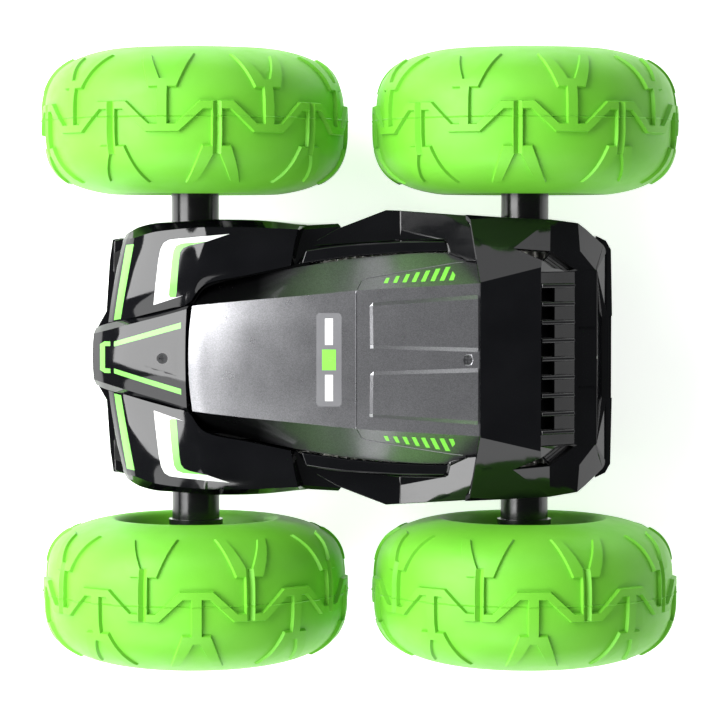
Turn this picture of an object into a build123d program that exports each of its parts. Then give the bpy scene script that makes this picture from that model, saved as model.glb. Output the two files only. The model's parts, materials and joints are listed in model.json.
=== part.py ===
"""Radio-controlled stunt car: a wide flat body on four balloon wheels, skid steered.

Frame: millimetres, +X forward, +Y to the car's left, +Z up. The origin is on the ground, midway
between the four wheels. Left-hand pieces are modelled and the right-hand ones are their mirror images.
"""

from build123d import *
import math
import os

# ---------------------------------------------------------------- driving dimensions
AXLE_X = 59.0            # half the wheelbase
AXLE_Z = 54.7            # axle height, which is the tyre's radius over its tread
WHEEL_Y = 83.9           # middle of each wheel, from the car's centre plane
TYRE_R = AXLE_Z          # outer radius over the tread
TYRE_OUTER = 25.3        # how far the outboard sidewall stands from the wheel's middle
TYRE_INNER = 26.0        # the same inboard, where the tyre is a little fuller
RIM_R = 27.0             # seat of the tyre on the rim
WALL = 1.8               # moulded shell thickness
TUB_WALL = 2.0
POD_WALL = 1.2           # the same on the side pods
POD_FOOT_Z = 72.6        # lower edge of a pod beside the canopy

SHAFT_R = 2.5            # wheel shaft
PIN_R = 1.5              # fixed pins of the idle gears
RUNNING = 0.05           # radial running clearance

GEAR_MODULE = 1.0        # side train
TRAIN_TEETH = 30         # wheel gears and the middle gear
IDLER_TEETH = 29
FINE_MODULE = 0.5        # motor stage
PINION_TEETH = 10
SPUR_TEETH = 56
IDLER_X = GEAR_MODULE * (TRAIN_TEETH + IDLER_TEETH) / 2
MOTOR_Z = AXLE_Z - FINE_MODULE * (PINION_TEETH + SPUR_TEETH) / 2

PLATE_Y = (27.0, 29.0)   # gearbox plate
SPUR_Y = (29.6, 32.6)    # motor stage
TRAIN_Y = (33.5, 37.5)   # side train
SIDE_WALL_Y = (40.5, 42.5)
HOUSING_R = 8.5          # axle housing tube
COLLAR_R = 9.65
HOUSING_Y = (SIDE_WALL_Y[1], 58.4)
COLLAR_Y = (58.4, 60.3)
HUB_Y = 61.2             # inner end of the wheel hub
GEAR_HUB_Y = (29.4, 40.2)
FLANGE_R = 12.0
FLANGE_THICK = 1.4
FLANGE_SCREW_R = 10.2    # circle of the flange's screws
FLANGE_ANGLES = (90, 210, 330)
BUSHING_R = 4.5

FLOOR_Z = 25.5           # underside of the tub
SKIRT_Z = 57.0           # lower edge of the upper shells
MOTOR_R = 10.0
MOTOR_FLAT = 15.0        # width across the can's flats
MOTOR_Y = (2.0, 27.0)
MOTOR_BELL = 5.0         # length of the end bell
MOTOR_SHAFT_R = 1.0
BORE_R = 6.7             # inside the motor's magnets
ARMATURE_R = 6.3

BATTERY_X = (15.5, 45.5)
BATTERY_HALF_Y = 25.5
BATTERY_Z = (28.4, 43.0)
DOOR_X = (13.5, 47.5)
DOOR_HALF_Y = 25.0
DOOR_THICK = 2.0
DOOR_GAP = 0.3
DOOR_SCREW_X = DOOR_X[0] + 3.2
BOARD_Z = 44.0
SCREW_R = 1.3
SCREW_HEAD_R = 2.1
HOOD_SCREW_X = 69.6
HOOD_SCREW_Z = 73.0      # underside of the screw's head
CANOPY_SCREW_X = -37.6
CANOPY_SCREW_Z = 86.4
POST_BORE_R = 1.2
SWITCH_X = -26.0
SWITCH_Y = 13.0
SWITCH_TRAVEL = 3.0

os.makedirs("parts", exist_ok=True)


# ---------------------------------------------------------------- helpers
def box(x, y, z):
    """A block between two corners, each argument a (low, high) pair."""
    (x0, x1), (y0, y1), (z0, z1) = (sorted(pair) for pair in (x, y, z))
    block = Box(x1 - x0, y1 - y0, z1 - z0)
    return Pos((x0 + x1) / 2, (y0 + y1) / 2, (z0 + z1) / 2) * block


def rod(x, z, radius, y):
    """A cylinder along Y between y[0] and y[1]."""
    y0, y1 = sorted(y)
    return Pos(x, (y0 + y1) / 2, z) * Rot(90, 0, 0) * Cylinder(radius, y1 - y0)


def post(x, y, radius, z):
    """A cylinder along Z between z[0] and z[1]."""
    z0, z1 = sorted(z)
    return Pos(x, y, (z0 + z1) / 2) * Cylinder(radius, z1 - z0)


def loft_along_x(stations):
    """A solid through closed outlines, each (x, [(y, z), ...]), with flat-sided runs between them."""
    wires = [Wire.make_polygon([(x, y, z) for y, z in outline], close=True) for x, outline in stations]
    return Solid.make_loft(wires, ruled=True)


def prism(points, y):
    """An outline [(x, z), ...] extruded along Y."""
    y0, y1 = sorted(y)
    wire = Wire.make_polygon([(px, y0, pz) for px, pz in points], close=True)
    return extrude(Face(wire), amount=y1 - y0, dir=(0, 1, 0))


def inset(profile, thickness):
    """An open profile moved sideways, to the right of its direction, by the thickness."""
    moved = []
    last = len(profile) - 1
    for i, (y, z) in enumerate(profile):
        normals = []
        for a, b in ((i - 1, i), (i, i + 1)):
            if a < 0 or b > last:
                continue
            dy, dz = profile[b][0] - profile[a][0], profile[b][1] - profile[a][1]
            length = math.hypot(dy, dz)
            normals.append((dz / length, -dy / length))
        ny = sum(n[0] for n in normals) / len(normals)
        nz = sum(n[1] for n in normals) / len(normals)
        scale = thickness / (ny * ny + nz * nz)
        moved.append((y + ny * scale, z + nz * scale))
    return moved


def shell(stations, thickness=WALL, drop=30.0):
    """A moulded cover, open below. Each station is (x, profile), and a profile runs over the top
    from its low-y foot to its high-y foot. The two end stations close with walls."""
    xs = [x for x, _ in stations]
    sign = 1 if xs[0] > xs[-1] else -1
    inner = []
    for i, (x, profile) in enumerate(stations):
        if i == 0:
            x -= sign * thickness
        if i == len(stations) - 1:
            x += sign * thickness
        inside = inset(profile, thickness)
        first, final = inside[0], inside[-1]
        inner.append((x, [(first[0], first[1] - drop), *inside, (final[0], final[1] - drop)]))
    return loft_along_x(stations) - loft_along_x(inner)


def both_sides(half):
    """A profile from a half outline given from the outer foot up to the centre line."""
    left = [(-y, z) for y, z in half]
    right = [(y, z) for y, z in reversed(half) if y > 0]
    return left + right


def mirrored(part):
    return mirror(part, about=Plane.XZ)


def gear_outline(teeth, module, backlash, phase, addendum=1.0):
    """Corners of a spur gear about the origin, with a tooth centred on the phase angle in radians."""
    pitch = teeth * module / 2
    base = pitch * math.cos(math.radians(20))
    tip, root = pitch + addendum * module, pitch - 1.25 * module
    half_pitch = (math.pi * module / 2 - backlash) / (2 * pitch)

    def involute(radius):
        angle = math.acos(min(1.0, base / radius))
        return math.tan(angle) - angle

    def half_angle(radius):
        return half_pitch + involute(pitch) - involute(max(radius, base))

    corners = []
    for tooth in range(teeth):
        middle = phase + 2 * math.pi * tooth / teeth
        flank = [(radius, half_angle(radius)) for radius in (root, pitch, tip)]
        for radius, half in flank:
            corners.append((radius, middle - half))
        for radius, half in reversed(flank):
            corners.append((radius, middle + half))
    return [(r * math.cos(a), r * math.sin(a)) for r, a in corners]


def gear(x, z, teeth, module, y, phase, bore, backlash, addendum=1.0):
    outline = gear_outline(teeth, module, backlash, phase, addendum)
    body = prism([(x + px, z + pz) for px, pz in outline], y)
    return body - rod(x, z, bore, (y[0] - 1, y[1] + 1))


# ---------------------------------------------------------------- body shells
def make_hood():
    """Pointed nose cover, proud of the wings beside it."""
    half = {
        94.6: [(8.3, 51.5), (8.3, 57.0), (6.8, 58.6), (0, 59.2)],
        91.0: [(9.4, 56.4), (9.4, 61.4), (7.8, 63.2), (0, 64.0)],
        80.0: [(12.6, 60.0), (12.6, 67.2), (10.8, 69.4), (0, 70.6)],
        70.0: [(15.6, 65.0), (15.6, 71.4), (13.6, 73.8), (0, 75.0)],
        60.7: [(18.2, 68.0), (18.2, 74.4), (16.2, 77.0), (0, 78.2)],
    }
    cover = shell([(x, both_sides(profile)) for x, profile in half.items()])
    cover += post(HOOD_SCREW_X, 0, 3.4, (66.0, 74.2))
    cover -= post(HOOD_SCREW_X, 0, SCREW_R + 0.2, (60.0, 80.0))
    return cover - post(HOOD_SCREW_X, 0, SCREW_HEAD_R + 0.3, (HOOD_SCREW_Z, 80.0))


def make_canopy():
    """Silver cabin cover with a crease along each side and two raised pads behind its seam."""
    half = {
        60.3: [(19.4, 68.0), (19.4, 72.0), (18.4, 76.2), (0, 77.7)],
        54.0: [(25.0, 69.0), (25.0, 71.6), (19.2, 78.0), (0, 79.5)],
        40.0: [(28.6, 70.5), (28.6, 73.0), (20.9, 81.0), (0, 82.6)],
        20.0: [(32.4, 71.6), (32.4, 74.0), (22.9, 84.4), (0, 86.0)],
        0.0: [(35.4, 71.8), (35.4, 74.4), (24.8, 86.2), (0, 87.6)],
        -20.0: [(37.0, 71.8), (37.0, 74.4), (26.0, 86.9), (0, 88.2)],
        -31.6: [(37.2, 71.6), (37.2, 74.2), (26.5, 86.8), (0, 88.0)],
        -41.9: [(33.4, 72.6), (33.4, 77.5), (26.9, 86.4), (0, 87.5)],
    }
    cover = shell([(x, both_sides(profile)) for x, profile in half.items()])
    for side in (1, -1):
        pad = loft_along_x([
            (-3.9, [(side * y, z) for y, z in ((4.6, 86.6), (19.6, 85.8), (18.6, 87.4), (5.6, 88.2))]),
            (-41.9, [(side * y, z) for y, z in ((5.2, 86.4), (21.6, 85.8), (20.6, 87.4), (6.2, 88.1))]),
        ])
        cover += pad
    cover += post(CANOPY_SCREW_X, 0, 3.4, (71.8, 87.0))
    cover -= post(CANOPY_SCREW_X, 0, SCREW_R + 0.2, (70.0, 92.0))
    return cover - post(CANOPY_SCREW_X, 0, SCREW_HEAD_R + 0.3, (CANOPY_SCREW_Z, 92.0))


def make_front_fender():
    """Left front wing, from the nose to the slanted end ahead of the side pod."""
    profiles = {
        88.3: [(12.0, 56.5), (12.0, 60.6), (20.0, 61.2), (36.0, 60.6), (40.0, SKIRT_Z)],
        83.0: [(13.2, 58.5), (13.2, 65.0), (22.0, 65.8), (40.0, 64.6), (42.8, SKIRT_Z)],
        75.0: [(15.4, 62.0), (15.4, 69.2), (25.0, 70.4), (43.0, 68.8), (46.0, SKIRT_Z)],
        68.0: [(17.5, 65.0), (17.5, 72.2), (28.0, 73.6), (44.5, 71.4), (47.7, SKIRT_Z)],
        60.8: [(20.8, 67.0), (20.8, 74.2), (30.0, 75.6), (45.5, 73.2), (48.9, SKIRT_Z)],
        54.0: [(26.4, 68.0), (26.4, 75.6), (32.4, 76.8), (46.0, 74.0), (49.2, SKIRT_Z)],
        36.0: [(31.0, 72.4), (31.0, 75.8), (36.0, 76.6), (46.0, 73.6), (49.1, SKIRT_Z)],
        24.0: [(33.8, 72.4), (33.8, 75.2), (38.0, 75.6), (45.5, 72.6), (48.7, SKIRT_Z)],
        8.0: [(38.4, 65.0), (38.4, 68.4), (41.0, 68.8), (45.8, 67.0), (47.6, SKIRT_Z)],
    }
    cover = shell([(x, profile) for x, profile in profiles.items()])
    return cover - rod(AXLE_X, AXLE_Z, HOUSING_R + 0.7, (44.0, 56.0))


def make_side_pod():
    """Left sill and angular pod between the wing and the rear cowl."""
    profiles = {
        7.6: [(34.8, 74.4), (39.4, 73.6), (41.6, 66.0), (44.4, 66.6), (46.4, 63.0), (45.4, SKIRT_Z)],
        -9.0: [(36.8, 74.4), (40.6, 73.8), (42.6, 67.0), (46.0, 70.0), (52.2, 64.0), (50.6, SKIRT_Z)],
        -24.0: [(37.6, 74.4), (41.0, 73.8), (43.0, 68.5), (46.4, 73.0), (51.6, 65.0), (50.2, SKIRT_Z)],
        -31.6: [(37.6, 74.6), (41.2, 74.2), (43.2, 71.5), (45.8, 74.6), (51.2, 65.4), (50.0, SKIRT_Z)],
        -41.9: [(33.8, 78.6), (37.8, 78.0), (42.0, 75.2), (45.0, 74.0), (50.6, 65.8), (49.8, SKIRT_Z)],
    }
    stations = [(x, [(profile[0][0], POD_FOOT_Z), *profile]) for x, profile in profiles.items()]
    cover = shell(stations, POD_WALL)
    return cover - box((-50.0, 10.0), (30.0, 38.6), (50.0, 71.3))


def make_rear_cowl():
    """Faceted engine cover, with the grille's opening behind its roof and a low rear deck."""
    half = {
        -42.2: [(50.0, SKIRT_Z), (50.8, 66.0), (38.0, 79.0), (27.4, 88.4), (0, 89.4)],
        -53.0: [(49.6, SKIRT_Z), (49.8, 66.0), (39.2, 76.2), (30.2, 86.6), (0, 87.6)],
        -64.3: [(48.6, SKIRT_Z), (48.4, 65.6), (38.6, 73.8), (33.0, 82.4), (0, 83.6)],
        -76.4: [(47.4, SKIRT_Z), (46.8, 63.8), (37.9, 69.4), (31.0, 70.0), (0, 70.8)],
        -83.7: [(43.0, SKIRT_Z), (42.4, 61.0), (36.0, 65.0), (30.0, 66.0), (0, 66.6)],
    }
    cover = shell([(x, both_sides(profile)) for x, profile in half.items()])
    cover -= box((-75.6, -64.9), (-30.4, 30.4), (60.0, 90.0))
    cover -= box((-45.0, -42.0), (-38.0, 38.0), (50.0, 75.0))
    cover -= box((-45.0, -42.0), (-47.6, 47.6), (50.0, 65.5))
    for side in (1, -1):
        cover -= rod(-AXLE_X, AXLE_Z, HOUSING_R + 0.7, (side * 44.0, side * 56.0))
    return cover


FIN_COUNT = 9
FIN_PITCH = 6.42
FIN_HALF = 0.75


def make_rear_grille():
    """Sloping vent plate with a row of upright fins across it."""
    top = [(-64.95, 80.6), (-68.0, 77.6), (-75.55, 70.2)]
    plate = prism([*top, (-75.55, 67.6), (-67.8, 75.2), (-64.95, 78.0)], (-30.3, 30.3))
    plate -= box((-68.2, -65.6), (-28.6, 28.6), (60.0, 90.0))
    fin = [(-64.95, 79.0), (-64.95, 83.2), (-66.4, 83.6), (-74.0, 75.2), (-75.5, 71.2), (-75.5, 69.0),
           (-68.6, 75.8)]
    for i in range(FIN_COUNT):
        y = (i - (FIN_COUNT - 1) / 2) * FIN_PITCH
        plate += prism(fin, (y - FIN_HALF, y + FIN_HALF))
    return plate


def make_front_bumper():
    """Bent bar under the nose."""
    tip = [(95.6, -8.2), (95.6, 8.2)]
    side = [(91.2, 16.0), (90.0, 34.0), (88.9, 41.8), (85.4, 42.4), (88.0, 38.4)]
    left = [*tip, *side]
    right = [(x, -y) for x, y in reversed(side)]
    wire = Wire.make_polygon([(x, y, 44.5) for x, y in [*left, *right]], close=True)
    bar = extrude(Face(wire), amount=6.6, dir=(0, 0, 1))
    return bar - box((88.36, 93.0), (-6.0, 6.0), (46.5, 49.5))


def make_rear_bumper():
    """Rear lip with cut corners and a wide notch in its upper edge."""
    half = [(-84.0, 43.2), (-87.6, 41.4), (-89.4, 38.2), (-89.9, 14.0)]
    outline = [(x, -y) for x, y in half] + [(x, y) for x, y in reversed(half)]
    wire = Wire.make_polygon([(x, y, 49.0) for x, y in outline], close=True)
    bar = extrude(Face(wire), amount=12.0, dir=(0, 0, 1))
    bar -= box((-86.6, -83.0), (-37.0, 37.0), (48.0, 58.8))
    return bar - box((-92.0, -88.8), (-14.6, 14.6), (57.6, 62.0))


# ---------------------------------------------------------------- chassis
def tub_profile(floor_z, floor_y, bend_z, wall_y, top_z):
    return [(-wall_y, top_z), (-wall_y, bend_z), (-floor_y, floor_z), (floor_y, floor_z),
            (wall_y, bend_z), (wall_y, top_z)]


def make_tub():
    """Lower half of the body: an open tray that carries the gear train, motors and battery."""
    wall = SIDE_WALL_Y[1]
    stations = [
        (88.0, tub_profile(44.0, 26.0, 48.0, 37.0, 56.0)),
        (76.0, tub_profile(36.0, 33.0, 44.0, wall, 56.0)),
        (48.0, tub_profile(FLOOR_Z, 38.0, 33.0, wall, 60.0)),
        (-58.0, tub_profile(FLOOR_Z, 38.0, 33.0, wall, 60.0)),
        (-76.0, tub_profile(35.0, 33.0, 43.0, wall, 56.0)),
        (-83.7, tub_profile(43.0, 27.0, 48.0, 38.0, 56.0)),
    ]
    inner = []
    for i, (x, profile) in enumerate(stations):
        x = {0: x - TUB_WALL, len(stations) - 1: x + TUB_WALL}.get(i, x)
        inside = inset(profile, -TUB_WALL)
        inner.append((x, [(inside[0][0], 70.0), *inside[1:-1], (inside[-1][0], 70.0)]))
    tub = loft_along_x(stations) - loft_along_x(inner)
    for x in (AXLE_X, -AXLE_X):
        for side in (1, -1):
            tub += box((x - 11.0, x + 11.0), (side * SIDE_WALL_Y[0], side * wall), (56.0, 66.0))
    for side in (1, -1):
        span = (side * 39.0, side * 44.0)
        for x in (AXLE_X, -AXLE_X):
            tub -= rod(x, AXLE_Z, 5.0, span)
        for x in (-IDLER_X, 0.0, IDLER_X):
            tub -= rod(x, AXLE_Z, PIN_R, span)
    for x, low, top in ((HOOD_SCREW_X, 34.9, 65.8), (CANOPY_SCREW_X, FLOOR_Z + 1.0, 71.6)):
        tub += post(x, 0, 3.2, (low, top))
        tub -= post(x, 0, POST_BORE_R, (top - 9.0, top + 1.0))
    for x, low in ((-48.5, FLOOR_Z + 1.0), (-70.0, 33.0)):
        for y in (-17.5, 17.5):
            tub += post(x, y, 2.0, (low, BOARD_Z))
    frame_y = DOOR_HALF_Y + 1.0
    opening_y = DOOR_HALF_Y + DOOR_GAP
    tub += box((DOOR_X[0] - 2.0, DOOR_X[1] + 0.4), (-frame_y, frame_y), (FLOOR_Z, FLOOR_Z + DOOR_THICK))
    tub -= box((DOOR_X[0] - DOOR_GAP, DOOR_X[1] + DOOR_GAP), (-opening_y, opening_y), (20.0, 29.0))
    lug = box((DOOR_X[0] - 2.0, DOOR_X[0] + 5.1), (-3.0, 3.0), (27.9, 29.4))
    lug += box((DOOR_X[0] - 2.0, DOOR_X[0] - DOOR_GAP), (-3.0, 3.0), (FLOOR_Z + 1.0, 29.4))
    tub += lug - post(DOOR_SCREW_X, 0, SCREW_R + 0.15, (27.0, 30.0))
    tub -= box((SWITCH_X - 3.2, SWITCH_X + 3.2), (SWITCH_Y - 1.4, SWITCH_Y + 1.4), (20.0, 29.0))
    return tub


def flange_screw_places():
    """Where the three screws of the front left flange stand, as (x, z)."""
    angles = [math.radians(angle) for angle in FLANGE_ANGLES]
    return [(AXLE_X + FLANGE_SCREW_R * math.cos(a), AXLE_Z + FLANGE_SCREW_R * math.sin(a)) for a in angles]


def make_axle_housing():
    """Fixed tube that carries a front left wheel shaft, with its flange on the tub's wall."""
    tube = rod(AXLE_X, AXLE_Z, HOUSING_R, HOUSING_Y) + rod(AXLE_X, AXLE_Z, COLLAR_R, COLLAR_Y)
    tube += rod(AXLE_X, AXLE_Z, FLANGE_R, (HOUSING_Y[0], HOUSING_Y[0] + FLANGE_THICK))
    for x, z in flange_screw_places():
        tube -= rod(x, z, 0.9, (HOUSING_Y[0] - 1, HOUSING_Y[0] + 3))
    return tube - rod(AXLE_X, AXLE_Z, BUSHING_R, (40.0, 62.0))


def make_bushing(y):
    ring = rod(AXLE_X, AXLE_Z, BUSHING_R, y)
    return ring - rod(AXLE_X, AXLE_Z, SHAFT_R + RUNNING, (y[0] - 1, y[1] + 1))


def make_gearbox_plate():
    """Flat plate between the motors and the side train."""
    outline = [(69.0, 46.0), (69.0, 63.0), (52.0, 66.0), (-52.0, 66.0), (-69.0, 63.0), (-69.0, 46.0),
               (-48.0, 34.0), (-14.0, 27.5), (12.5, 27.5), (12.5, 46.0)]
    plate = prism(outline, PLATE_Y)
    cut = (PLATE_Y[0] - 1, PLATE_Y[1] + 1)
    for x in (AXLE_X, -AXLE_X):
        plate -= rod(x, AXLE_Z, SHAFT_R + RUNNING, cut)
    for x in (-IDLER_X, 0.0, IDLER_X):
        plate -= rod(x, AXLE_Z, PIN_R, cut)
    return plate - rod(0.0, MOTOR_Z, 3.05, cut)


def make_motor():
    """Flat-sided can with its magnets and end bell, hollow for its armature."""
    can = rod(0.0, MOTOR_Z, MOTOR_R, (MOTOR_Y[0] + MOTOR_BELL, MOTOR_Y[1]))
    bell = rod(0.0, MOTOR_Z, MOTOR_R - 0.6, (MOTOR_Y[0], MOTOR_Y[0] + MOTOR_BELL))
    flats = box((-MOTOR_FLAT / 2, MOTOR_FLAT / 2), (0.0, 30.0), (MOTOR_Z - 11.0, MOTOR_Z + 11.0))
    motor = (can + bell) & flats
    motor += rod(0.0, MOTOR_Z, 3.0, (MOTOR_Y[1], MOTOR_Y[1] + 1.5))
    for z in (MOTOR_Z - 5.0, MOTOR_Z + 5.0):
        motor += box((-1.5, 1.5), (MOTOR_Y[0] - 1.5, MOTOR_Y[0]), (z - 0.4, z + 0.4))
    motor -= rod(0.0, MOTOR_Z, BORE_R, (MOTOR_Y[0] + 1.6, MOTOR_Y[1] - 1.0))
    return motor - rod(0.0, MOTOR_Z, MOTOR_SHAFT_R + RUNNING, (0.0, 30.0))


# ---------------------------------------------------------------- electrics
def make_battery():
    """Two cells side by side in a wrap, lying across the car."""
    radius = (BATTERY_Z[1] - BATTERY_Z[0]) / 2
    middle = sum(BATTERY_Z) / 2
    reach = (-BATTERY_HALF_Y, BATTERY_HALF_Y)
    near, far = BATTERY_X[0] + radius, BATTERY_X[1] - radius
    pack = rod(near, middle, radius, reach) + rod(far, middle, radius, reach)
    return pack + box((near, far), reach, (middle - radius + 1.2, middle + radius - 1.2))


def make_circuit_board():
    """Receiver board with its chip, two drivers, a crystal can, a capacitor and two sockets."""
    top = BOARD_Z + 1.6
    board = box((-75.0, -45.0), (-21.0, 21.0), (BOARD_Z, top))
    board += box((-66.0, -58.0), (-5.0, 5.0), (top, top + 1.6))
    for y in (-14.0, 14.0):
        board += box((-62.0, -56.0), (y - 2.5, y + 2.5), (top, top + 1.8))
    board += box((-72.0, -68.0), (4.0, 14.0), (top, top + 3.4))
    board += post(-51.0, 0.0, 2.6, (top, top + 7.4))
    for side in (1, -1):
        board += box((-52.0, -47.0), (side * 5.0, side * 14.4), (top, top + 5.4))
    return board


def make_switch_housing():
    z0 = FLOOR_Z + 2.0
    frame = box((SWITCH_X - 6.0, SWITCH_X + 6.0), (SWITCH_Y - 3.0, SWITCH_Y + 3.0), (z0, z0 + 4.5))
    cavity = box((SWITCH_X - 4.4, SWITCH_X + 4.4), (SWITCH_Y - 1.8, SWITCH_Y + 1.8), (z0 - 1, z0 + 2.6))
    return frame - cavity


def make_switch_knob():
    """Slider at its rear stop, through the slot in the floor."""
    z0 = FLOOR_Z + 2.0
    x = SWITCH_X - SWITCH_TRAVEL / 2
    knob = box((x - 1.5, x + 1.5), (SWITCH_Y - 1.2, SWITCH_Y + 1.2), (FLOOR_Z - 0.6, z0 + 0.4))
    return knob + box((x - 2.6, x + 2.6), (SWITCH_Y - 1.6, SWITCH_Y + 1.6), (z0 + 0.2, z0 + 2.2))


def make_battery_door():
    """Hatch in the floor. It tilts on its rounded front edge and its screw stays in it."""
    low, high = FLOOR_Z, FLOOR_Z + DOOR_THICK
    door = box((DOOR_X[0], DOOR_X[1] - 1.0), (-DOOR_HALF_Y, DOOR_HALF_Y), (low, high))
    door += rod(DOOR_X[1] - 1.0, low + 1.0, 1.0, (-DOOR_HALF_Y, DOOR_HALF_Y))
    for i in range(5):
        x = 22.0 + 4.0 * i
        door -= box((x, x + 1.6), (-16.0, 16.0), (low - 1.0, low + 0.5))
    door -= post(DOOR_SCREW_X, 0, SCREW_HEAD_R + 0.2, (low - 1.0, low + 0.9))
    return door - post(DOOR_SCREW_X, 0, SCREW_R, (low - 1.0, high + 1.0))


def make_door_screw():
    low = FLOOR_Z
    x = DOOR_SCREW_X
    head = post(x, 0, SCREW_HEAD_R, (low, low + 0.9))
    shank = post(x, 0, SCREW_R, (low + 0.9, low + 3.4))
    slot_a = box((x - 1.3, x + 1.3), (-0.3, 0.3), (low - 0.5, low + 0.5))
    slot_b = box((x - 0.3, x + 0.3), (-1.3, 1.3), (low - 0.5, low + 0.5))
    return head + shank - slot_a - slot_b


def make_shell_screw(x, head_z, length):
    """Crosshead screw that holds a cover down on its post."""
    head = post(x, 0, SCREW_HEAD_R, (head_z, head_z + 1.2))
    shank = post(x, 0, POST_BORE_R, (head_z - length, head_z))
    slot_a = box((x - 1.4, x + 1.4), (-0.3, 0.3), (head_z + 0.5, head_z + 2.0))
    slot_b = box((x - 0.3, x + 0.3), (-1.4, 1.4), (head_z + 0.5, head_z + 2.0))
    return head + shank - slot_a - slot_b


def make_housing_screws():
    """The three small screws in one axle housing's flange."""
    y = HOUSING_Y[0] + FLANGE_THICK
    return [rod(x, z, 1.6, (y, y + 0.8)) + rod(x, z, 0.9, (y - FLANGE_THICK, y))
            for x, z in flange_screw_places()]


def wire_run(points, radius, bend):
    """An insulated lead along straight runs with rounded corners."""
    path = FilletPolyline(*points, radius=bend)
    return sweep(Plane(origin=path @ 0, z_dir=path % 0) * Circle(radius), path)


def make_wiring():
    """Two leads from each motor and two from the battery to the board's sockets."""
    leads = []
    plug_x = -46.9
    for side in (1, -1):
        y = side * 1.3
        leads.append([(0.0, y, 43.8), (0.0, y, 53.0), (-20.0, side * 9.0, 53.0), (-38.0, side * 8.4, 51.0),
                      (plug_x, side * 8.4, 49.6)])
        leads.append([(-2.2, y, 33.2), (-2.2, y, 51.0), (-20.0, side * 6.0, 51.0), (-38.0, side * 6.0, 50.0),
                      (plug_x, side * 6.2, 48.4)])
    for y, plug_y in ((16.0, 10.8), (19.0, 13.2)):
        leads.append([(28.0, y, 42.0), (28.0, y, 52.0), (-20.0, y - 1.0, 52.0), (-38.0, plug_y, 50.0),
                      (plug_x, plug_y, 48.6)])
    return [wire_run(points, 0.6, 2.0) for points in leads]


# ---------------------------------------------------------------- wheels
def ring_about_axle(points):
    """A wheel ring from its section [(offset from the wheel's middle, radius), ...]."""
    wire = Wire.make_polygon([(AXLE_X, WHEEL_Y + a, AXLE_Z + r) for a, r in points], close=True)
    axis = Axis((AXLE_X, 0, AXLE_Z), (0, 1, 0))
    return revolve(Face(wire), axis=axis)


def tyre_wall(reach):
    """One side of the tyre's section from its crown round to its crown, for a sidewall that far out."""
    outside = [(7.0, 53.9), (13.0, 52.2), (reach - 7.3, 49.5), (reach - 3.6, 45.3), (reach - 1.1, 40.0),
               (reach, 34.6), (reach - 0.7, 30.8), (reach - 2.9, 28.4)]
    seat = [(19.6, RIM_R), (11.0, RIM_R), (11.0, 29.0)]
    inside = [(reach - 4.9, 30.0), (reach - 3.1, 32.4), (reach - 2.5, 35.0), (reach - 3.5, 39.4),
              (reach - 5.7, 43.8), (reach - 8.9, 47.4), (12.2, 49.8), (6.6, 51.4)]
    return outside + seat + inside


def make_tyre():
    """Balloon tyre: a moulded skin, open on the rim's seat."""
    section = [(0, TYRE_R), *tyre_wall(TYRE_OUTER), (0, 51.8)]
    section += [(-a, r) for a, r in reversed(tyre_wall(TYRE_INNER))]
    return ring_about_axle(section)


def make_rim():
    """Five-spoke wheel with a long hub on the shaft."""
    barrel = ring_about_axle([(-15.0, 24.8), (-15.0, RIM_R), (18.6, RIM_R), (18.6, 25.2), (17.0, 24.8)])
    web = ring_about_axle([(11.0, 7.0), (13.6, 7.0), (13.2, 16.0), (15.6, 25.5), (12.2, 25.5), (10.4, 16.0)])
    cutter_y = (WHEEL_Y + 5.0, WHEEL_Y + 20.0)
    for i in range(5):
        middle = 2 * math.pi * (i + 0.5) / 5 + math.pi / 2
        corners = [(10.5, -0.30), (22.6, -0.42), (23.4, 0.0), (22.6, 0.42), (10.5, 0.30)]
        spread = [(r, middle + t) for r, t in corners]
        outline = [(AXLE_X + r * math.cos(t), AXLE_Z + r * math.sin(t)) for r, t in spread]
        web -= prism(outline, cutter_y)
    hub = rod(AXLE_X, AXLE_Z, 7.6, (HUB_Y, WHEEL_Y + 15.4))
    rim = barrel + web + hub
    rim -= rod(AXLE_X, AXLE_Z, SHAFT_R, (50.0, WHEEL_Y + 14.0))
    return rim - rod(AXLE_X, AXLE_Z, 5.0, (WHEEL_Y + 13.0, WHEEL_Y + 20.0))


def make_hub_cap():
    """Domed cap pressed into the hub."""
    plug = [(13.2, 0.0), (13.2, 5.0), (15.4, 5.0)]
    dome = [(15.4, 6.8), (17.0, 6.6), (18.4, 5.0), (19.0, 0.0)]
    return ring_about_axle([*plug, *dome])


def make_drive_shaft():
    return rod(AXLE_X, AXLE_Z, SHAFT_R, (PLATE_Y[0] - 0.5, WHEEL_Y + 13.0))


def make_wheel_gear():
    """Gear on the wheel shaft: meshes with an idler, so it has a gap on that side."""
    pitch_angle = math.pi / TRAIN_TEETH
    blank = gear(AXLE_X, AXLE_Z, TRAIN_TEETH, GEAR_MODULE, TRAIN_Y, math.pi + pitch_angle, SHAFT_R, 0.2)
    hub = rod(AXLE_X, AXLE_Z, 5.0, GEAR_HUB_Y) - rod(AXLE_X, AXLE_Z, SHAFT_R, (28.0, 42.0))
    return blank + hub


def make_idler(x):
    """Idle gear on a fixed pin: one gap faces the middle gear, one tooth the wheel gear."""
    toward_middle = math.pi if x > 0 else 0.0
    phase = toward_middle + math.pi / IDLER_TEETH
    blank = gear(x, AXLE_Z, IDLER_TEETH, GEAR_MODULE, TRAIN_Y, phase, PIN_R + RUNNING, 0.2)
    hub = rod(x, AXLE_Z, 4.0, GEAR_HUB_Y) - rod(x, AXLE_Z, PIN_R + RUNNING, (28.0, 42.0))
    return blank + hub


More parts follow.
